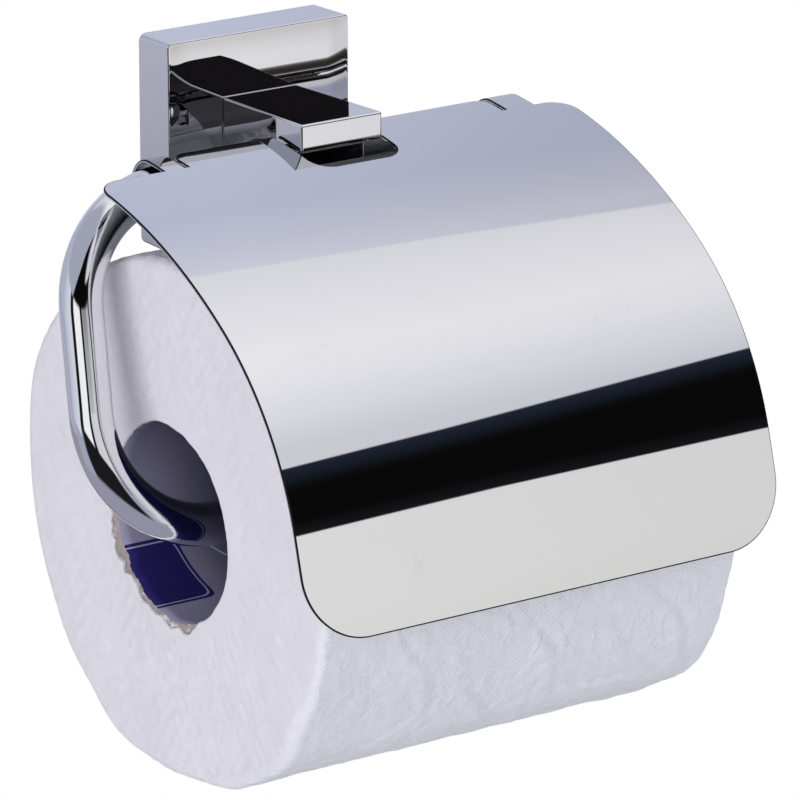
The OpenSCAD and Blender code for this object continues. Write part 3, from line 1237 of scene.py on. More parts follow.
    def fan(self, u: Array, edges: Sequence[Array | float], names: Sequence[str]) -> Array:
        """Columns spread between edges that may move with the row: evenly, but
        closer together towards the cover's side within an ear.

        Args:
            u: the rows' places.
            edges: x of each edge, one number or one for every row.
            names: what lies between each two edges.

        Returns:
            Array (rows, columns, 2) of x and u.
        """
        steps = []
        for k, (a, b, name) in enumerate(zip(edges[:-1], edges[1:], names)):
            t = np.linspace(0.0, 1.0, self.COLUMNS[name] + 1)
            if name == "ear":
                t = t**1.8 if k == 0 else 1.0 - (1.0 - t) ** 1.8
            t = t[min(k, 1) :]
            a_row, b_row = np.broadcast_to(a, u.shape), np.broadcast_to(b, u.shape)
            steps.append(a_row[:, None] * (1 - t) + b_row[:, None] * t)
        x = np.concatenate(steps, axis=1)
        return np.stack([x, np.broadcast_to(u[:, None], x.shape)], axis=-1)

    def outline(self, b: dict[str, Array]) -> Array:
        """The blocks' outer edge as one closed line, once round the sheet.

        Args:
            b: the blocks.

        Returns:
            Array (count, 2) of x and u, whose last point is its first.
        """
        tab, slit, middle, slot, past_slot = np.cumsum(list(self.COLUMNS.values()))
        upper, lower, right = b["upper_left"], b["lower"], b["upper_right"]
        columns = right.shape[1] - 1

        def round_end(name: str) -> list[Array]:
            """A block's right side, its rear edge and its left side."""
            return [b[name][-2::-1, -1], b[name][0, -2::-1], b[name][1:, 0]]

        return np.concatenate(
            [
                upper[0, tab::-1],
                upper[1:, 0],
                lower[1:, 0],
                lower[-1, 1:],
                lower[-2::-1, -1],
                right[-2::-1, -1],
                right[0, columns - 1 : columns - tab - 1 : -1],
                *round_end("right_tab"),
                right[0, columns - slit - 1 : columns - middle - 1 : -1],
                *round_end("right_middle"),
                right[1:, 0],
                lower[0, past_slot - 1 : slot - 1 : -1],
                upper[-2::-1, -1],
                *round_end("left_middle"),
                upper[0, middle - 1 : slit - 1 : -1],
                *round_end("left_tab"),
            ]
        )

    def mesh(self) -> list[Patch]:
        """Outer face, inner face, and a rounded rim lofted between outlines that
        are drawn in and sunk along a small quarter circle at each side. The
        outer rounding wears the cut edge's finish, painted nearly black as shade.

        Returns:
            The patches.
        """
        inset = self.blocks(self.rounding)
        patches = []
        for grid in inset.values():
            out = self.outward(grid)
            patches.append(Patch(self.raised(grid, 0.0), out))
            patches.append(Patch(self.raised(grid, self.sheet), -out))
        turn = quarter(self.RIM_STEPS)
        draw = self.rounding * (1 - np.sin(turn))
        sink = self.rounding * (1 - np.cos(turn))
        ins = np.concatenate([draw, draw[::-1]])
        depths = np.concatenate([sink, self.sheet - sink[::-1]])
        true_line, inner_line = self.outline(self.blocks(0.0)), self.outline(inset)
        away = unit(true_line - inner_line)
        leans = np.concatenate([turn, math.pi - turn[::-1]])
        lines, normals = [], []
        for e, depth, lean in zip(ins, depths, leans):
            line = self.outline(self.blocks(float(e)))
            lines.append(self.raised(line, float(depth)))
            sideways = self.in_sheet(away, line)
            normals.append(unit(self.outward(line) * math.cos(lean) + sideways * math.sin(lean)))
        last = self.RIM_STEPS
        # The outer rounding takes the cut edge's finish, with its painted shade.
        patches.append(Patch(np.stack(lines[: last + 1]), np.stack(normals[: last + 1]), Coat.CUT))
        patches.append(Patch(np.stack(lines[last:]), np.stack(normals[last:])))
        return patches

    def make(self, shop: Workshop) -> None:
        """Builds and dresses the cover."""
        piece = build("cover_sheet", self.mesh(), "cover", "polished_steel", shop.sheet, shop.edge)
        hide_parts("cover")


# ------ rosette and the arm


@dataclass
class Stations:
    """Rounded rectangles square to Y that follow each other along a piece.

    Attributes:
        y: place of each station.
        half_x: half its width.
        low: its lowest Z.
        high: its highest Z.
        radius: its corner radius.
        tilt: how far its normals lean towards -Y, in radians.
        splits: half the width of a level side's middle part, the divisions of
            the parts outside it, and its own divisions.
        corner: divisions of a corner.
        upright: divisions of an upright side.
    """

    y: Array
    half_x: Array
    low: Array
    high: Array
    radius: Array
    tilt: Array
    splits: tuple[float, int, int] = (0.0, 4, 4)
    corner: int = 8
    upright: int = 10

    def grid(self) -> tuple[Array, Array]:
        """Points and normals of the skin over the stations.

        A corner is a quarter circle about its own centre, and a side runs from
        corner to corner. The normal (cos f, b, sin f) has the b at which it is
        square to the step from one station to the next.

        Returns:
            Two arrays (stations, around, 3); the first column comes again last.
        """
        corners = []
        r = self.radius[:, None]
        for quadrant, (sx, sz) in enumerate(((1, -1), (1, 1), (-1, 1), (-1, -1))):
            f = math.radians(-90.0 + 90.0 * quadrant) + quarter(self.corner)
            level = (self.high if sz > 0 else self.low)[:, None]
            x = sx * (self.half_x[:, None] - r) + r * np.cos(f)
            corners.append((x, level - sz * r + r * np.sin(f), f))
        xs, zs, fs = [], [], []
        for k, (corner_x, corner_z, corner_f) in enumerate(corners):
            if k % 2 == 0:
                t = np.linspace(0.0, 1.0, self.upright + 1)[1:-1]
                side_z = corner_z[:, -1:] * (1 - t) + corners[k + 1][1][:, :1] * t
                side_x = corner_x[:, -1:] + 0 * side_z
            else:
                way = 1.0 if k == 3 else -1.0
                side_x = way * self.level_side(np.abs(corner_x[:, -1:]))
                side_z = corner_z[:, -1:] + 0 * side_x
            xs += [corner_x, side_x]
            zs += [corner_z, side_z]
            fs += [corner_f, np.full(side_x.shape[1], corner_f[-1])]
        x = np.concatenate([*xs, xs[0][:, :1]], axis=1)
        z = np.concatenate([*zs, zs[0][:, :1]], axis=1)
        f = np.concatenate([*fs, fs[0][:1]])[None, :]
        points = np.stack([x, self.y[:, None] + 0 * x, z], axis=-1)
        grown = [self.rate(v) for v in (self.half_x, self.low, self.high, self.radius)]
        level = np.where(np.sin(f) > 0, grown[2], grown[1])
        b = -np.abs(np.cos(f)) * grown[0] - np.sin(f) * level
        b = b - grown[3] * (1 - np.abs(np.cos(f)) - np.abs(np.sin(f)))
        plain = unit(np.stack([np.cos(f) + 0 * b, b, np.sin(f) + 0 * b], axis=-1))
        lean = self.tilt[:, None, None]
        return points, unit(plain * np.cos(lean) + np.sin(lean) * np.array([0.0, -1.0, 0.0]))

    def level_side(self, end: Array) -> Array:
        """Places along a level side, from one corner to the next.

        Args:
            end: half the side's length at each station, as a column.

        Returns:
            Array (stations, divisions), without the two corners.
        """
        half, outer, inner = self.splits
        t = np.linspace(0.0, 1.0, outer + 1)[1:]
        middle = np.broadcast_to(np.linspace(-half, half, inner + 1)[1:], (len(end), inner))
        return np.concatenate([-end * (1 - t) - half * t, middle, (half * (1 - t) + end * t)[:, :-1]], axis=1)

    def solid(self, shares: Sequence[float]) -> list[Patch]:
        """The skin with a flat end at the first and at the last station.

        Args:
            shares: how far each ring of the ends is drawn in, from 1 to 0.

        Returns:
            The patches.
        """
        points, normals = self.grid()
        rings = np.array(shares)
        back = cap(points[0], (0.0, 1.0, 0.0), rings)
        front = cap(points[-1], (0.0, -1.0, 0.0), rings)
        return [Patch(points, normals), back, front]

    def rate(self, value: Array) -> Array:
        """How fast a value grows along Y where the skin isn't turned at an end.

        Args:
            value: one number for each station.

        Returns:
            The growth as a column.
        """
        level = np.abs(self.tilt) < 1e-9
        rate = np.zeros_like(value)
        if level.sum() > 1:
            rate[level] = np.gradient(value[level], self.y[level])
        return rate[:, None]


def box_of(node: str) -> Array:
    """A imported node's lowest and highest corners, in millimetres."""
    return np.array([list(corner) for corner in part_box(node)]) / MM


def cap(loop: Array, normal: Sequence[float], shares: Array) -> Patch:
    """A flat end: the loop drawn in towards its middle.

    Args:
        loop: array (count, 3), the end's outline.
        normal: which way it faces.
        shares: the size of each ring, from 1 to 0.

    Returns:
        The patch.
    """
    middle = (loop.min(axis=0) + loop.max(axis=0)) / 2.0
    points = middle + (loop - middle) * shares[:, None, None]
    return Patch(points, np.broadcast_to(np.array(normal, float), points.shape))


@dataclass
class Rosette:
    """Square shell on the wall, with a set screw's hole in its underside.

    Attributes:
        box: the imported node's lowest and highest corners.
        wall, front_wall: thickness of its sides and of its front.
        back_corner, front_corner, pocket_corner: corner radii at the wall, at
            the front and inside.
        bevel, back_bevel: rounding round the front face and at the wall.
        crown, crown_reach: how far buffing took the front face back at its
            edges, and from how far in.
        level_share: how much of the crown the level edges have.
        screw_y, screw_radius: the screw hole's place and radius.
        window, window_steps: half the side of the square round the hole, and
            the divisions of its sides.
    """

    box: Array
    wall: float = 1.8
    front_wall: float = 2.2
    back_corner: float = 1.7
    front_corner: float = 1.0
    pocket_corner: float = 1.2
    bevel: float = 0.3
    back_bevel: float = 0.15
    crown: float = 0.22
    crown_reach: float = 5.5
    level_share: float = 0.35
    screw_y: float = -5.4
    screw_radius: float = 2.05
    window: float = 3.2
    window_steps: int = 8

    def __post_init__(self) -> None:
        """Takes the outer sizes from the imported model."""
        self.half = (self.box[1][0] - self.box[0][0]) / 2.0
        self.depth = self.box[1][1] - self.box[0][1]

    def crowned(self, points: Array) -> tuple[Array, Array]:
        """How far buffing took the front face back at its edges, and its slope.

        The fall is crown times the square of how far a point is past the start
        of the edge zone, which is less along the level edges.

        Args:
            points: points on the front face.

        Returns:
            The fall along +Y, and its growth towards +X and +Z.
        """
        fall, slope = 0.0, []
        for axis, share in ((0, 1.0), (2, self.level_share)):
            past = np.clip(np.abs(points[..., axis]) - self.half + self.crown_reach, 0.0, None)
            fall = fall + share * self.crown * (past / self.crown_reach) ** 2
            rate = 2.0 * share * self.crown * past / self.crown_reach**2
            slope.append(rate * np.sign(points[..., axis]))
        return fall, np.stack([slope[0], 0 * slope[0], slope[1]], axis=-1)

    def mesh(self) -> list[Patch]:
        """Outer sides, bevel and front; inside, the pocket's sides and floor; and
        round the screw's hole a patch from a square window to a circle.

        Returns:
            The patches.
        """
        edge = quarter(5)
        front = -self.depth + self.bevel
        low, high = self.screw_y - self.window, self.screw_y + self.window
        beside_hole = np.linspace(high, low, self.window_steps + 1)
        behind, ahead = spread(-self.back_bevel, high, 1.0), spread(low, front, 0.8)
        sides = np.concatenate([behind, beside_hole[1:], ahead[1:]])
        y = np.concatenate([[0.0], sides, front - self.bevel * np.sin(edge[1:])])
        drawn = np.concatenate([[self.back_bevel], 0 * sides, self.bevel * (1 - np.cos(edge[1:]))])
        half = self.half - drawn
        share = np.clip((y + self.back_bevel) / (front + self.back_bevel), 0.0, 1.0)
        radius = self.back_corner * (1 - share) + self.front_corner * share
        radius = radius - np.where(y < front, drawn, 0.0)
        tilt = np.concatenate([[-math.pi / 4], 0 * sides, edge[1:]])
        splits = (self.window, self.window_steps, self.window_steps)
        points, normals = Stations(y, half, -half, half, radius, tilt, splits).grid()
        in_front = points[..., 1] <= front + 1e-6
        points[..., 1] += np.where(in_front, self.crowned(points)[0], 0.0)
        face_share = 1.0 - np.concatenate([np.linspace(0.0, 0.3, 16), np.linspace(0.3, 1.0, 8)[1:]])
        loop = points[-1].copy()
        loop[:, 1] = -self.depth
        face = cap(loop, (0.0, -1.0, 0.0), face_share)
        fall, slope = self.crowned(face.points)
        face.points = face.points + np.stack([0 * fall, fall, 0 * fall], axis=-1)
        face.normals = unit(face.normals + slope)
        inner_half = self.half - self.wall
        floor_y = -self.depth + self.front_wall
        inner_y = np.array([0.0, *beside_hole, floor_y])
        flat = np.full(len(inner_y), inner_half)
        corner = flat * 0 + self.pocket_corner
        pocket, into = Stations(inner_y, flat, -flat, flat, corner, flat * 0, splits).grid()
        rim_line = np.stack([points[0], pocket[0]])
        rim = Patch(rim_line, np.broadcast_to([0.0, 1.0, 0.0], rim_line.shape))
        floor = cap(pocket[-1], (0.0, 1.0, 0.0), np.linspace(1.0, 0.0, 3))
        first = int(np.argmin(np.abs(y - high)))
        return [
            *self.windowed(points, normals, first),
            *self.windowed(pocket, -into, 1),
            face, rim, floor, *self.hole(inner_half),
        ]

    def windowed(self, points: Array, normals: Array, first: int) -> list[Patch]:
        """A skin left open at the window in its underside.

        Args:
            points: the skin's points.
            normals: its normals.
            first: the window's first station.

        Returns:
            The patches round the window.
        """
        last = first + self.window_steps
        right = points.shape[1] - 1 - self.window_steps
        left = right - self.window_steps
        blocks = (
            (slice(0, first + 1), slice(None)),
            (slice(last, None), slice(None)),
            (slice(first, last + 1), slice(0, left + 1)),
            (slice(first, last + 1), slice(right, None)),
        )
        return [Patch(points[block], normals[block]) for block in blocks]

    def hole(self, inner_half: float) -> list[Patch]:
        """Square-to-circle patches outside and inside, and the hole's wall.

        Args:
            inner_half: half the pocket's width.

        Returns:
            The patches.
        """
        step = np.linspace(-1.0, 1.0, self.window_steps + 1)
        one = np.ones(self.window_steps)
        sides = ((step[:-1], -one), (one, step[:-1]), (step[:0:-1], one), (-one, step[:0:-1]))
        square = np.concatenate([np.stack(side, axis=1) for side in sides])
        square = np.concatenate([square, square[:1]]) * self.window
        angle = np.arctan2(square[:, 1], square[:, 0])
        circle = self.screw_radius * np.stack([np.cos(angle), np.sin(angle)], axis=1)
        share = np.linspace(0.0, 1.0, 4)[:, None, None]
        flat = square * (1 - share) + circle * share
        patches = []
        for z, turn in ((-self.half, -1.0), (-inner_half, 1.0)):
            grid = np.stack([flat[..., 0], flat[..., 1] + self.screw_y, np.full(flat.shape[:2], z)], axis=-1)
            patches.append(Patch(grid, np.broadcast_to([0.0, 0.0, turn], grid.shape)))
        wall = np.stack([patches[0].points[-1], patches[1].points[-1]])
        inward = np.stack([-np.cos(angle), -np.sin(angle), 0 * angle], axis=1)
        patches.append(Patch(wall, np.broadcast_to(inward, wall.shape)))
        return patches

    def make(self, shop: Workshop) -> None:
        """Builds and dresses the shell."""
        piece = build("rosette_shell", self.mesh(), "holder", "polished_steel", shop.block)
        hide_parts("rosette")


@dataclass
class Arm:
    """Flat arm that grows deep towards the rosette, with a saddle on the bar.

    Attributes:
        box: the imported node's lowest and highest corners.
        hinge: a point on the hinge leg's centre line.
        root_half, root_top: half the arm's width and its top's height at the rosette.
        underside: height of its level underside.
        gusset_y, gusset_radius: where the underside turns down towards the
            rosette, and the curve's radius.
        edge, root_edge: rounding of its edges, and at the rosette.
        saddle_half, saddle_y: half the saddle's width, its back and front.
        saddle_edge, saddle_sunk: rounding of its edges, and how far it reaches
            up into the arm.
    """

    box: Array
    hinge: Array
    root_half: float = 9.3
    root_top: float = 9.3
    underside: float = 3.85
    gusset_y: float = -28.5
    gusset_radius: float = 17.75
    edge: float = 0.5
    root_edge: float = 0.6
    saddle_half: float = 8.0
    saddle_y: tuple[float, float] = (-26.4, -37.6)
    saddle_edge: float = 0.35
    saddle_sunk: float = 0.5

    def __post_init__(self) -> None:
        """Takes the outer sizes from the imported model."""
        self.half = (self.box[1][0] - self.box[0][0]) / 2.0
        self.front, self.root = self.box[0][1], self.box[1][1]
        self.top = self.box[1][2]

    def mesh(self) -> list[Patch]:
        """Stations from the root to the front: the width and the top change
        evenly, and the underside follows a circle and then runs level.

        Returns:
            The patches.
        """
        bend = math.asin((self.root - self.gusset_y) / self.gusset_radius)
        arc = self.gusset_y + self.gusset_radius * np.sin(np.linspace(bend, 0.0, 40))
        fore, behind = self.front + self.edge, self.root - self.root_edge
        straight = np.concatenate([[behind], arc[arc < behind], spread(self.gusset_y, fore, 1.5)[1:]])
        start, end = quarter(4)[:0:-1], quarter(5)[1:]
        at_root, at_front = behind + self.root_edge * np.sin(start), fore - self.edge * np.sin(end)
        y = np.concatenate([at_root, straight, at_front])
        tilt = np.concatenate([-start, 0 * straight, end])
        drawn = np.where(tilt < 0.0, self.root_edge, self.edge) * (1 - np.cos(tilt))
        share = (y - self.root) / (self.front - self.root)
        past = np.clip(y - self.gusset_y, 0.0, None)
        under = self.underside - self.gusset_radius + np.sqrt(self.gusset_radius**2 - past**2)
        half = self.root_half * (1 - share) + self.half * share - drawn
        high = self.root_top * (1 - share) + self.top * share - drawn
        radius = np.maximum(self.edge - drawn, 0.08)
        return Stations(y, half, under + drawn, high, radius, tilt, (0.0, 5, 1)).solid((1.0, 0.5, 0.0))

    def saddle(self) -> list[Patch]:
        """A small rounded block between the arm and the bar.

        Returns:
            The patches.
        """
        back, front = self.saddle_y
        edge, r = quarter(3), self.saddle_edge
        y = np.concatenate([back - r * (1 - np.sin(edge[::-1])), front + r * (1 - np.sin(edge))])
        tilt = np.concatenate([-edge[::-1], edge])
        drawn = r * (1 - np.cos(tilt))
        half, radius = self.saddle_half - drawn, np.maximum(r - drawn, 0.05)
        low, high = self.hinge[2] + drawn, self.underside + self.saddle_sunk - drawn
        return Stations(y, half, low, high, radius, tilt, (0.0, 2, 1)).solid((1.0, 0.0))

    def make(self, shop: Workshop) -> None:
        """Builds and dresses the arm and its saddle.

        Args:
            shop: the finishes.
        """
        for name, patches in (("arm_blade", self.mesh()), ("arm_saddle", self.saddle())):
            piece = build(name, patches, "holder", "polished_steel", shop.block)
            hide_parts("arm")


@dataclass
class WallFixing:
    """Hidden bracket, screws and washers, dressed as they are.

    Attributes:
        nodes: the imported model's objects by name.
    """

    nodes: dict[str, bpy.types.Object]

    def make(self, shop: Workshop) -> None:
        """Dresses the hidden parts.

        Args:
            shop: the finishes.
        """
        for name in ("wall_bracket", "arm_washers"):
            dress(self.nodes[name], shop.plated)
        for name in ("set_screw", "arm_screws"):
            dress(self.nodes[name], shop.oxide)


# ------ the paper roll


@dataclass
class Crease:
    """A fold pressed across the outer layer of paper.

    Attributes:
        x: where its middle lies across the roll, in millimetres.
        angle: where it lies round the roll, in degrees, 90 straight up.
        length: how long it is.
        turn: its direction, in degrees from the roll's axis.
        depth: how deep it is, negative where it stands up.
    """

    x: float
    angle: float
    length: float
    turn: float
    depth: float


@dataclass
class PaperRoll:
    """Paper wound on a cardboard core, a little squashed and creased.

    Angles go round the roll's axis: 0 is straight back and 90 straight up.

    Attributes:
        axis: a point on the roll's axis.
        radius, half: the radius before the bulges, and half the roll's width.
        bore, lip: radius of the core's bore and of the small lip round it.
        soft_edge, firm_edge: radii of the left and the right edge.
        loose: how far the outer sheet's end stands out, at which angle, and over
            how many degrees.
        around: divisions round the roll.
        bulges: each bulge's angle, height and reach, height negative for a hollow.
        creases: the folds in the outer layer.
        WRAPPED: how many rows of an edge's rounding belong to the outside.
    """

    WRAPPED: ClassVar[int] = 4

    axis: Array
    radius: float = 54.4
    half: float = 51.5
    bore: float = 20.9
    soft_edge: float = 2.6
    firm_edge: float = 1.2
    lip: float = 0.5
    loose: tuple[float, float, float] = (1.3, -148.0, 11.0)
    around: int = 480
    bulges: tuple[tuple[float, float, float], ...] = (
        (22.0, 1.7, 16.0), (-43.0, 0.6, 9.0), (-66.0, 1.75, 11.0), (-97.0, -0.5, 9.0),
        (-112.0, 0.6, 8.0), (-134.0, 1.75, 10.0), (-157.0, -0.3, 9.0),
    )
    creases: tuple[Crease, ...] = (
        Crease(-24.0, 205.0, 34.0, 62.0, 0.42), Crease(-9.0, 212.0, 30.0, 55.0, 0.34),
        Crease(8.0, 208.0, 40.0, 60.0, 0.44), Crease(17.0, 217.0, 34.0, 50.0, 0.40),
        Crease(30.0, 211.0, 26.0, 47.0, 0.36), Crease(39.0, 206.0, 30.0, 58.0, 0.38),
        Crease(-34.0, 214.0, 24.0, 66.0, 0.32), Crease(2.0, 200.0, 60.0, 4.0, -0.24),
        Crease(-12.0, 232.0, 70.0, 3.0, 0.34), Crease(-30.0, 226.0, 22.0, -48.0, 0.30),
        Crease(12.0, 232.0, 30.0, 68.0, 0.34), Crease(22.0, 231.0, 24.0, 38.0, -0.30),
        Crease(33.0, 222.0, 34.0, 12.0, 0.34), Crease(-3.0, 222.0, 26.0, 40.0, 0.30),
        Crease(-18.0, 219.0, 24.0, 52.0, -0.26), Crease(45.0, 216.0, 22.0, 74.0, 0.30),
    )

    def outline(self, angle: Array) -> Array:
        """Radius round the roll: a circle with soft bulges and hollows, each of
        them a bell curve.

        Args:
            angle: the angles, in radians.

        Returns:
            The radii.
        """
        radius = np.full(angle.shape, self.radius)
        for at, height, reach in self.bulges:
            radius = radius + height * bell(from_angle(np.degrees(angle), at) / reach)
        return radius

    def pressed(self, x: Array, angle: Array) -> Array:
        """How far the creases sink the outer layer: along each wavy line a narrow
        bell curve with a raised side, faded out at the line's ends.

        Args:
            x: places along the axis.
            angle: the angles, in radians.

        Returns:
            Array of the two's common shape.
        """
        sunk = np.zeros(np.broadcast(x, angle).shape)
        for fold in self.creases:
            s = np.radians(from_angle(np.degrees(angle), fold.angle)) * self.radius
            turn = math.radians(fold.turn)
            along = (x - fold.x) * math.cos(turn) + s * math.sin(turn)
            across = s * math.cos(turn) - (x - fold.x) * math.sin(turn)
            across = across + 1.2 * np.sin(along / 5.0 + fold.x)
            fade = bell((along / (0.5 * fold.length)) ** 2)
            sunk = sunk + fold.depth * fade * (bell(across / 0.8) - 0.5 * bell((across - 2.2) / 1.6))
        return sunk

    def relief(self, x: Array, angle: Array) -> Array:
        """How far the outer layer stands out: a swell and a ripple that are gone
        where the angles begin and end, and its loose end, less the creases.

        Args:
            x: places along the axis.
            angle: the angles as a column, in radians.

        Returns:
            Array like x.
        """
        s = angle * self.radius
        share = angle / FULL_TURN
        seam = smooth_step(12.0 * share) * smooth_step(12.0 * (1.0 - share))
        uneven = 0.16 * lumps(x, s, 4, 14, 9.0, 40.0) + 0.09 * lumps(x, s, 8, 26, 2.6, 8.0)
        height, at, reach = self.loose
        loose = height * smooth_step((x + 15.0) / 60.0) * bell(from_angle(np.degrees(angle), at) / reach)
        return loose + uneven * seam - self.pressed(x, angle)

    def mesh(self) -> list[Patch]:
        """A half outline carried round the axis: from the bore out across the
        left face, over a soft edge, along the outside and back on the right.

        Returns:
            The outside, the left end and the right end.
        """
        angle = around_circle(self.around)[:, None]
        outer = self.outline(angle)
        left_r, left_in = self.end_rows(angle, self.soft_edge)
        right_r, right_in = self.end_rows(angle, self.firm_edge)
        x_left, x_right = left_in - self.half, self.half - right_in
        run = spread(-self.half + self.soft_edge, self.half - self.firm_edge, 1.1)[1:-1]
        r = np.concatenate([left_r, outer + 0 * run, right_r[:, ::-1], left_r[:, :1]], axis=1)
        x = np.concatenate([x_left, run + 0 * outer, x_right[:, ::-1], x_left[:, :1]], axis=1)
        on_face = np.abs(x) > self.half - 0.5 * self.firm_edge
        outside = smooth_step((r - outer + self.soft_edge) / self.soft_edge)
        r = r + outside * self.relief(x, angle)
        y, z = r * np.cos(angle), r * np.sin(angle)
        uneven = 0.22 * lumps(y, z, 9, 16, 7.0, 45.0) + 0.10 * lumps(y, z, 3, 24, 2.5, 6.0)
        inward = smooth_step((r - self.bore - 1.5) / 4.0)
        x = x + np.sign(x) * np.where(on_face, uneven - 0.2, 0.0) * (1 - outside) * inward
        points = np.stack([x, y, z], axis=-1) + self.axis
        normals = skin_normals(points)
        s = np.broadcast_to(angle * self.radius, r.shape)
        along, outwards = np.stack([x, s], axis=-1) * MM, np.stack([s, r], axis=-1) * MM
        left = left_r.shape[1] - 1 - self.WRAPPED
        right = r.shape[1] - 1 - right_r.shape[1] + self.WRAPPED
        parts = (
            (slice(left, right + 1), Coat.FACE, along),
            (slice(0, left + 1), Coat.CUT, outwards),
            (slice(right, None), Coat.CUT, outwards),
        )
        return [Patch(points[:, part], normals[:, part], coat, laid[:, part]) for part, coat, laid in parts]

    def end_rows(self, angle: Array, edge: float) -> tuple[Array, Array]:
        """One end of the half outline: in the bore behind the core's wall, over a
        small lip, out across the face and round the edge by a quarter circle.

        Args:
            angle: the angles round the roll, as a column.
            edge: the radius of the outer edge.

        Returns:
            The radii, and how far each stands in from the face.
        """
        lift = self.bore + self.frayed(angle)
        past_lip, before_edge = lift + self.lip, self.outline(angle) - edge
        share = np.linspace(0.0, 1.0, 24)[None, 1:]
        lip_turn, turn = quarter(4), quarter(9)[1:]
        radii = np.concatenate(
            [
                np.maximum(lift, self.bore + 0.4),
                lift + self.lip * (1 - np.cos(lip_turn)),
                past_lip * (1 - share) + before_edge * share,
                before_edge + edge * np.sin(turn),
            ],
            axis=1,
        )
        over_lip, over_edge = self.lip * (1 - np.sin(lip_turn)), edge * (1 - np.cos(turn))
        inset = np.concatenate([[3.0], over_lip, 0 * share[0], over_edge])
        return radii, np.broadcast_to(inset, radii.shape)

    def frayed(self, angle: Array) -> Array:
        """How far the paper stands back from the core's bore round its end, so
        that a ragged bit of board shows, and how far it hangs over it elsewhere.

        Args:
            angle: the angles, in radians.

        Returns:
            The distances.
        """

        def near(at: float, full: float, fade: float) -> Array:
            """One close to an angle, and nothing beyond the fade."""
            return smooth_step((full + fade - np.abs(from_angle(np.degrees(angle), at))) / fade)

        ragged = lumps(24.0 * np.cos(angle), 24.0 * np.sin(angle), 5, 22, 2.5, 9.0)
        torn = 1.7 * near(-14.0, 14.0, 26.0) + 1.2 * near(-64.0, 36.0, 22.0)
        return torn * (1.0 + 0.35 * ragged) - 0.9 * near(135.0, 20.0, 50.0) + 0.08 * ragged

    def make(self, shop: Workshop) -> None:
        """Builds and dresses the paper."""
        piece = build("paper_wound", self.mesh(), "roll", "tissue_paper", shop.tissue, shop.ends)
        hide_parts("paper_roll")


@dataclass
class CoreTube:
    """Cardboard tube inside the roll, with torn ends.

    Attributes:
        axis: a point on the tube's axis.
        paper: the paper round it.
        bore, wall, half: its inner radius, its thickness and half its length.
        tear: how uneven its ends are.
        around: divisions round it.
    """

    axis: Array
    paper: PaperRoll
    bore: float = 20.8
    wall: float = 0.95
    half: float = 50.85
    tear: float = 0.35
    around: int = 480

    def mesh(self) -> list[Patch]:
        """A thin ring outline carried round the axis, whose ends are ragged:
        smooth random lumps move each end in and out, and the wall fans out
        where the paper stands back.

        Returns:
            The bore, the outside and the two ends.
        """
        angle = around_circle(self.around)[:, None]
        back, up = 20.0 * np.cos(angle), 20.0 * np.sin(angle)
        uneven = 0.7 * lumps(back, up, 11, 20, 2.5, 9.0) + 0.3 * lumps(back, up, 12, 20, 0.9, 2.2)
        end = self.half + self.tear * uneven
        along = np.linspace(-1.0, 1.0, 40)[None, :]
        steps = np.linspace(0.0, 1.0, 5)[None, :]
        wall = self.wall + np.maximum(self.paper.frayed(angle) - 1.0, 0.0)
        thick = self.bore + wall * steps
        rag = 0.25 * lumps(back + 9.0 * steps, up + 7.0 * steps, 13, 20, 0.7, 3.0) * np.sin(math.pi * steps)
        grids = (
            (end * along, self.bore + 0 * along, Coat.FACE, -1.0),
            (end * along, self.bore + wall + 0 * along, Coat.CUT, 1.0),
            (-(end + rag), thick, Coat.CUT, 0.0),
            (end + rag, thick, Coat.CUT, 0.0),
        )
        patches = []
        for x, r, coat, outward in grids:
            x, r = np.broadcast_arrays(x, r)
            points = np.stack([x, r * np.cos(angle), r * np.sin(angle)], axis=-1) + self.axis
            radial = np.stack([0 * x, np.cos(angle) + 0 * x, np.sin(angle) + 0 * x], axis=-1)
            side = np.sign(x[:1, :1, None]) * np.array([1.0, 0.0, 0.0]) + 0 * radial
            laid = np.stack([x, self.bore * angle + 0 * x], axis=-1) * MM
            patches.append(Patch(points, radial * outward if outward else side, coat, laid))
        return patches

    def make(self, shop: Workshop) -> None:
        """Builds and dresses the tube."""
        piece = build("core_tube_torn", self.mesh(), "roll", "cardboard", shop.lining, shop.torn)
        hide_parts("core_tube")


# ------ studio


@dataclass(frozen=True)
class Card:
    """A tone of the studio's surroundings at one angle, in degrees."""

    at: float
    tone: tuple[float, float, float]


BEHIND = (
    Card(-180, (0.030, 0.026, 0.024)), Card(-175, (0.060, 0.050, 0.045)), Card(-171, (0.22, 0.20, 0.19)),
    Card(-167, (0.52, 0.50, 0.49)), Card(-163.5, (0.74, 0.74, 0.755)), Card(-120, (0.64, 0.64, 0.67)),
    Card(0, (0.50, 0.52, 0.64)), Card(57, (0.455, 0.485, 0.615)), Card(69, (0.53, 0.545, 0.64)),
    Card(77, (0.60, 0.61, 0.70)), Card(180, (0.80, 0.80, 0.80)),
)
OVERHEAD = (
    Card(-180, (0.030, 0.026, 0.024)), Card(78, (0.77, 0.78, 0.82)), Card(90, (0.86, 0.85, 0.89)),
    Card(105, (0.92, 0.91, 0.94)), Card(117, (0.88, 0.88, 0.92)), Card(130, (0.78, 0.79, 0.82)),
    Card(140, (0.67, 0.69, 0.74)), Card(144, (0.67, 0.68, 0.72)), Card(168, (0.78, 0.78, 0.78)),
    Card(173.4, (0.80, 0.80, 0.79)), Card(174.8, (0.70, 0.67, 0.60)), Card(176, (0.030, 0.026, 0.024)),
    Card(180, (0.030, 0.026, 0.024)),
)
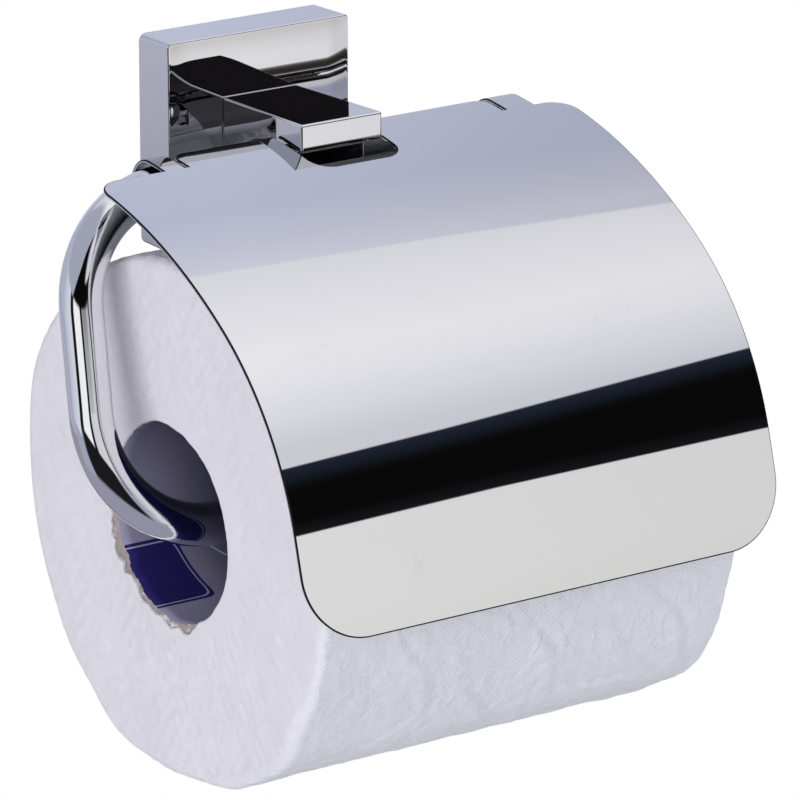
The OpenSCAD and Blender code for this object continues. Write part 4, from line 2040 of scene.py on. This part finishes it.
LEFT_SIDE = (
    Card(-90, (0.70, 0.71, 0.74)), Card(-58, (0.66, 0.67, 0.71)), Card(-56, (0.006, 0.006, 0.008)),
    Card(-47, (0.006, 0.006, 0.008)), Card(-45, (0.96, 0.96, 0.98)), Card(-15, (0.96, 0.96, 0.98)),
    Card(-12, (0.006, 0.006, 0.008)), Card(0, (0.006, 0.006, 0.008)), Card(4, (0.70, 0.72, 0.77)),
    Card(22, (0.62, 0.67, 0.76)), Card(45, (0.47, 0.50, 0.60)), Card(90, (0.43, 0.45, 0.55)),
)
BLACK = (0.003, 0.003, 0.003, 1.0)
BLUE_BLACK = (0.013, 0.018, 0.031, 1.0)
WARM_BLACK = (0.009, 0.008, 0.011, 1.0)
DIM = (0.020, 0.017, 0.019, 1.0)
BROWN = (0.030, 0.024, 0.022, 1.0)
PLUM = (0.012, 0.011, 0.013, 1.0)
DUSK = (0.38, 0.40, 0.50, 1.0)
LAVENDER = (0.31, 0.31, 0.40, 1.0)
LOW_BACK = ((0.31, 0.30, 0.37, 1.0), (0.445, 0.457, 0.55, 1.0))
FILL = ((0.10, 0.10, 0.112, 1.0), (0.32, 0.32, 0.352, 1.0))
WHITE = (1.0, 1.0, 1.0, 1.0)


@dataclass
class Studio:
    """Camera, surroundings, lamps and floor.

    Attributes:
        camera_at: where the camera stands, in metres.
        azimuth, elevation: how far it looks to the right and down, in degrees.
        lens, shift: its focal length, and its shift across and up.
        floor_z: height of the floor, in metres.
        middle: the X of the directions that the middle of the cover mirrors.
        kept_per_bounce: how much of the light a second mirror keeps.
    """

    camera_at: tuple[float, float, float] = (-0.7077, -1.0663, 0.3383)
    azimuth: float = 35.2
    elevation: float = 17.44
    lens: float = 284.45
    shift: tuple[float, float] = (-0.0049, 0.0163)
    floor_z: float = -1.2
    middle: float = 0.56
    kept_per_bounce: float = 0.70

    def camera(self) -> None:
        """Long lens on the left, a little above the holder."""
        data = bpy.data.cameras.new("camera")
        data.sensor_width = 36.0
        data.lens = self.lens
        data.shift_x, data.shift_y = self.shift
        data.clip_start, data.clip_end = 0.05, 100.0
        camera = bpy.data.objects.new("camera", data)
        a, e = math.radians(self.azimuth), math.radians(self.elevation)
        ahead = Vector((math.sin(a) * math.cos(e), math.cos(a) * math.cos(e), -math.sin(e)))
        camera.location = self.camera_at
        camera.rotation_mode = "QUATERNION"
        camera.rotation_quaternion = ahead.to_track_quat("-Z", "Y")
        bpy.context.scene.collection.objects.link(camera)
        bpy.context.scene.camera = camera

    def cards(self, n: Nodes) -> bpy.types.NodeSocket:
        """What metal sees: blue-grey behind, white overhead, a black flag in
        front, upright cards on the left, and a brown floor.

        Args:
            n: the world's nodes.

        Returns:
            The tone in each direction.
        """
        x, y, z = n.split(n.add("ShaderNodeTexCoord").outputs["Generated"])
        pitch = n.math("MULTIPLY", n.math("ARCTAN2", z, y), 180.0 / math.pi)
        turn = n.math("MULTIPLY", n.math("ARCTAN2", y, n.math("MULTIPLY", x, -1.0)), 180.0 / math.pi)
        aside = n.math("SUBTRACT", x, self.middle)
        leftwards = n.math("MAXIMUM", n.math("MULTIPLY", aside, -1.0), 0.0)
        gain = n.held(n.math("MULTIPLY_ADD", aside, -3.6, 1.0), 0.9, 1.1)
        fade = n.held(n.math("MULTIPLY_ADD", aside, -1.0, 0.945), 0.85, 1.0)
        behind = self.scaled(n, self.ramp(n, pitch, BEHIND), gain)
        over = self.scaled(n, self.ramp(n, pitch, OVERHEAD), fade)
        card_edge = n.math("MULTIPLY_ADD", aside, 65.0, 77.8)
        card_edge = n.math("MULTIPLY_ADD", n.math("MAXIMUM", aside, 0.0), 35.0, card_edge)
        tone = n.mix(n.edge(pitch, card_edge, 0.5), behind, over)
        rise = n.math("MAXIMUM", n.math("ADD", aside, 0.005), 0.0)
        flag_top = n.math("MULTIPLY_ADD", n.math("MAXIMUM", aside, -0.035), -100.0, 144.6)
        flag_top = n.math("MULTIPLY_ADD", rise, -40.0, flag_top)
        flag_low = n.math("MULTIPLY_ADD", leftwards, 60.0, 169.8)
        in_flag = n.math("MULTIPLY", n.edge(pitch, flag_top, 0.35), n.edge(pitch, flag_low, 0.3, 1.0, 0.0))
        flag = n.mix(n.step(pitch, flag_top, n.math("ADD", flag_top, 9.0)), BLUE_BLACK, BLACK)
        flag = n.mix(n.step(pitch, n.math("SUBTRACT", flag_low, 6.0), flag_low), flag, WARM_BLACK)
        tone = n.mix(in_flag, tone, flag)
        left_from = n.math("MULTIPLY_ADD", n.step(z, 0.50, 0.58), -0.20, 0.05)
        left = n.edge(x, left_from, 0.07, 1.0, 0.0)
        tone = n.mix(left, tone, self.left_cards(n, y, z, turn))
        ground = n.math("MULTIPLY", n.step(z, -0.50, -0.40, 1.0, 0.0), n.math("SUBTRACT", 1.0, left))
        return n.mix(ground, tone, BROWN)

    def left_cards(
        self, n: Nodes, y: bpy.types.NodeSocket, z: bpy.types.NodeSocket, turn: bpy.types.NodeSocket
    ) -> bpy.types.NodeSocket:
        """What metal sees on the left: at middle height a white window between
        two black bars, above it black in front and pale behind, below it dark
        but for a pale strip straight ahead and a pale back, and a pale floor.

        Args:
            n: the world's nodes.
            y: how far the direction goes back.
            z: how far it goes up.
            turn: its angle from straight left towards the back, in degrees.

        Returns:
            The tone in each direction.
        """
        behind = n.step(turn, -6.0, 4.0)
        lower = n.mix(n.step(turn, -87.0, -80.0), DUSK, n.mix(behind, PLUM, DUSK))
        middle_from = n.math("MULTIPLY_ADD", behind, -0.17, 0.075)
        tone = n.mix(n.edge(z, middle_from, 0.025), lower, self.ramp(n, turn, LEFT_SIDE))
        in_low_back = n.math("MULTIPLY", n.step(y, 0.5, 0.6), n.step(z, -0.2, -0.1, 1.0, 0.0))
        tone = n.mix(in_low_back, tone, n.mix(n.step(z, -0.285, -0.24), *LOW_BACK))
        shore = n.held(n.math("MULTIPLY_ADD", z, -1.2, 0.364), -0.5, -0.14)
        upper = n.mix(n.edge(y, shore, 0.03, 1.0, 0.0), DUSK, BLACK)
        tone = n.mix(n.step(z, 0.40, 0.46), tone, upper)
        return n.mix(n.step(z, -0.62, -0.48, 1.0, 0.0), tone, LAVENDER)

    @staticmethod
    def scaled(n: Nodes, tone: object, gain: object) -> bpy.types.NodeSocket:
        """A tone made lighter or darker.

        Args:
            n: the world's nodes.
            tone: the tone.
            gain: what it is multiplied by.

        Returns:
            The tone's output.
        """
        node = n.add("ShaderNodeVectorMath", operation="SCALE")
        n.put(node.inputs[0], tone)
        n.put(node.inputs["Scale"], gain)
        return node.outputs[0]

    @staticmethod
    def ramp(n: Nodes, angle: bpy.types.NodeSocket, cards: Sequence[Card]) -> bpy.types.NodeSocket:
        """The tone of a ring of cards.

        Args:
            n: the world's nodes.
            angle: the direction's angle, between -180 and 180 degrees.
            cards: the cards by growing angle.

        Returns:
            The tone's output.
        """
        node = n.add("ShaderNodeValToRGB")
        ramp = node.color_ramp
        ramp.elements.remove(ramp.elements[-1])
        for k, card in enumerate(cards):
            place = (card.at + 180.0) / 360.0
            stop = ramp.elements[0] if k == 0 else ramp.elements.new(place)
            stop.position = place
            stop.color = (*card.tone, 1.0)
        n.put(node.inputs[0], n.math("MULTIPLY_ADD", angle, 1.0 / 360.0, 0.5))
        return node.outputs[0]

    def surroundings(self) -> None:
        """White to the eye, cards for metal, and a soft fill for paper that is
        dimmer from below. What is seen over several mirrors grows dim."""
        world = bpy.data.worlds.new("studio")
        world.use_nodes = True
        bpy.context.scene.world = world
        tree = world.node_tree
        tree.nodes.clear()
        n = Nodes(tree)
        height = n.split(n.add("ShaderNodeTexCoord").outputs["Generated"])[2]
        paths = n.add("ShaderNodeLightPath").outputs
        again = n.math("SUBTRACT", paths["Glossy Depth"], 1.0)
        squared = n.math("MULTIPLY", again, again)
        kept = n.math("POWER", self.kept_per_bounce, n.math("MULTIPLY", again, squared))
        fill = n.mix(n.step(height, -0.5, 0.5), *FILL)
        seen = ((n.mix(kept, DIM, self.cards(n)), "Is Glossy Ray"), (WHITE, "Is Camera Ray"))
        shader = self.glow(n, fill)
        for tone, ray in seen:
            shader = n.fed("ShaderNodeMixShader", paths[ray], shader, self.glow(n, tone))[0]
        n.put(n.add("ShaderNodeOutputWorld").inputs["Surface"], shader)

    @staticmethod
    def glow(n: Nodes, tone: object) -> bpy.types.NodeSocket:
        """The surroundings in one tone."""
        return n.fed("ShaderNodeBackground", tone)[0]

    def lamp(self, name: str, place: tuple[float, float, float], size: float, power: float) -> None:
        """A square soft lamp aimed at the holder and kept out of reflections.

        Args:
            name: the lamp's name.
            place: where it hangs, in metres.
            size: the length of its side.
            power: its power in watts.
        """
        data = bpy.data.lights.new(name, "AREA")
        data.shape = "SQUARE"
        data.size = size
        data.energy = power
        lamp = bpy.data.objects.new(name, data)
        lamp.location = place
        aim = Vector((0.0, -0.055, -0.06)) - lamp.location
        lamp.rotation_mode = "QUATERNION"
        lamp.rotation_quaternion = aim.to_track_quat("-Z", "Y")
        lamp.visible_glossy = False
        lamp.visible_camera = False
        bpy.context.scene.collection.objects.link(lamp)

    def floor(self) -> None:
        """A pale floor far below, white to the eye."""
        mesh = bpy.data.meshes.new("floor")
        reach = 12.0
        corners = [(-reach, -reach), (reach, -reach), (reach, reach), (-reach, reach)]
        mesh.from_pydata([(x, y, self.floor_z) for x, y in corners], [], [(0, 1, 2, 3)])
        floor = bpy.data.objects.new("floor", mesh)
        material = bpy.data.materials.new("floor")
        material.use_nodes = True
        n = Nodes(material.node_tree)
        nodes = material.node_tree.nodes
        eye = n.add("ShaderNodeLightPath").outputs["Is Camera Ray"]
        glow = n.add("ShaderNodeEmission").outputs[0]
        mixed = n.fed("ShaderNodeMixShader", eye, nodes["Principled BSDF"].outputs[0], glow)
        n.put(nodes["Material Output"].inputs["Surface"], mixed[0])
        mesh.materials.append(material)
        floor.visible_glossy = False
        bpy.context.scene.collection.objects.link(floor)

    def make(self) -> None:
        """Sets up everything round the holder."""
        bpy.context.scene.view_settings.view_transform = "Standard"
        self.camera()
        self.surroundings()
        self.lamp("key", (-2.4, -0.95, 0.45), 2.2, 40.0)
        self.lamp("low_front", (-0.1, -2.5, -0.25), 1.6, 13.0)
        self.lamp("right_fill", (2.5, -0.6, 0.3), 1.8, 14.0)
        self.floor()


def main() -> None:
    """Builds the holder piece by piece, then the studio."""
    logging.basicConfig(level=logging.INFO, format="%(name)s %(message)s")
    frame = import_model()
    shop = Workshop.open()
    axes = {joint["name"]: np.array(joint["pos_m"]) / MM for joint in frame["joints"]}
    hinge, roll = axes["cover_hinge"], axes["roll_spin"]
    paper = PaperRoll(roll)
    parts = (
        Cover(hinge[1:]),
        RollBar(hinge),
        Rosette(box_of("rosette")),
        Arm(box_of("arm"), hinge),
        WallFixing(frame["nodes"]),
        paper,
        CoreTube(roll, paper),
    )
    for part in parts:
        part.make(shop)
        log.info("%s done", type(part).__name__)
    Studio().make()
    bpy.context.view_layer.update()


if __name__ == "__main__":
    main()
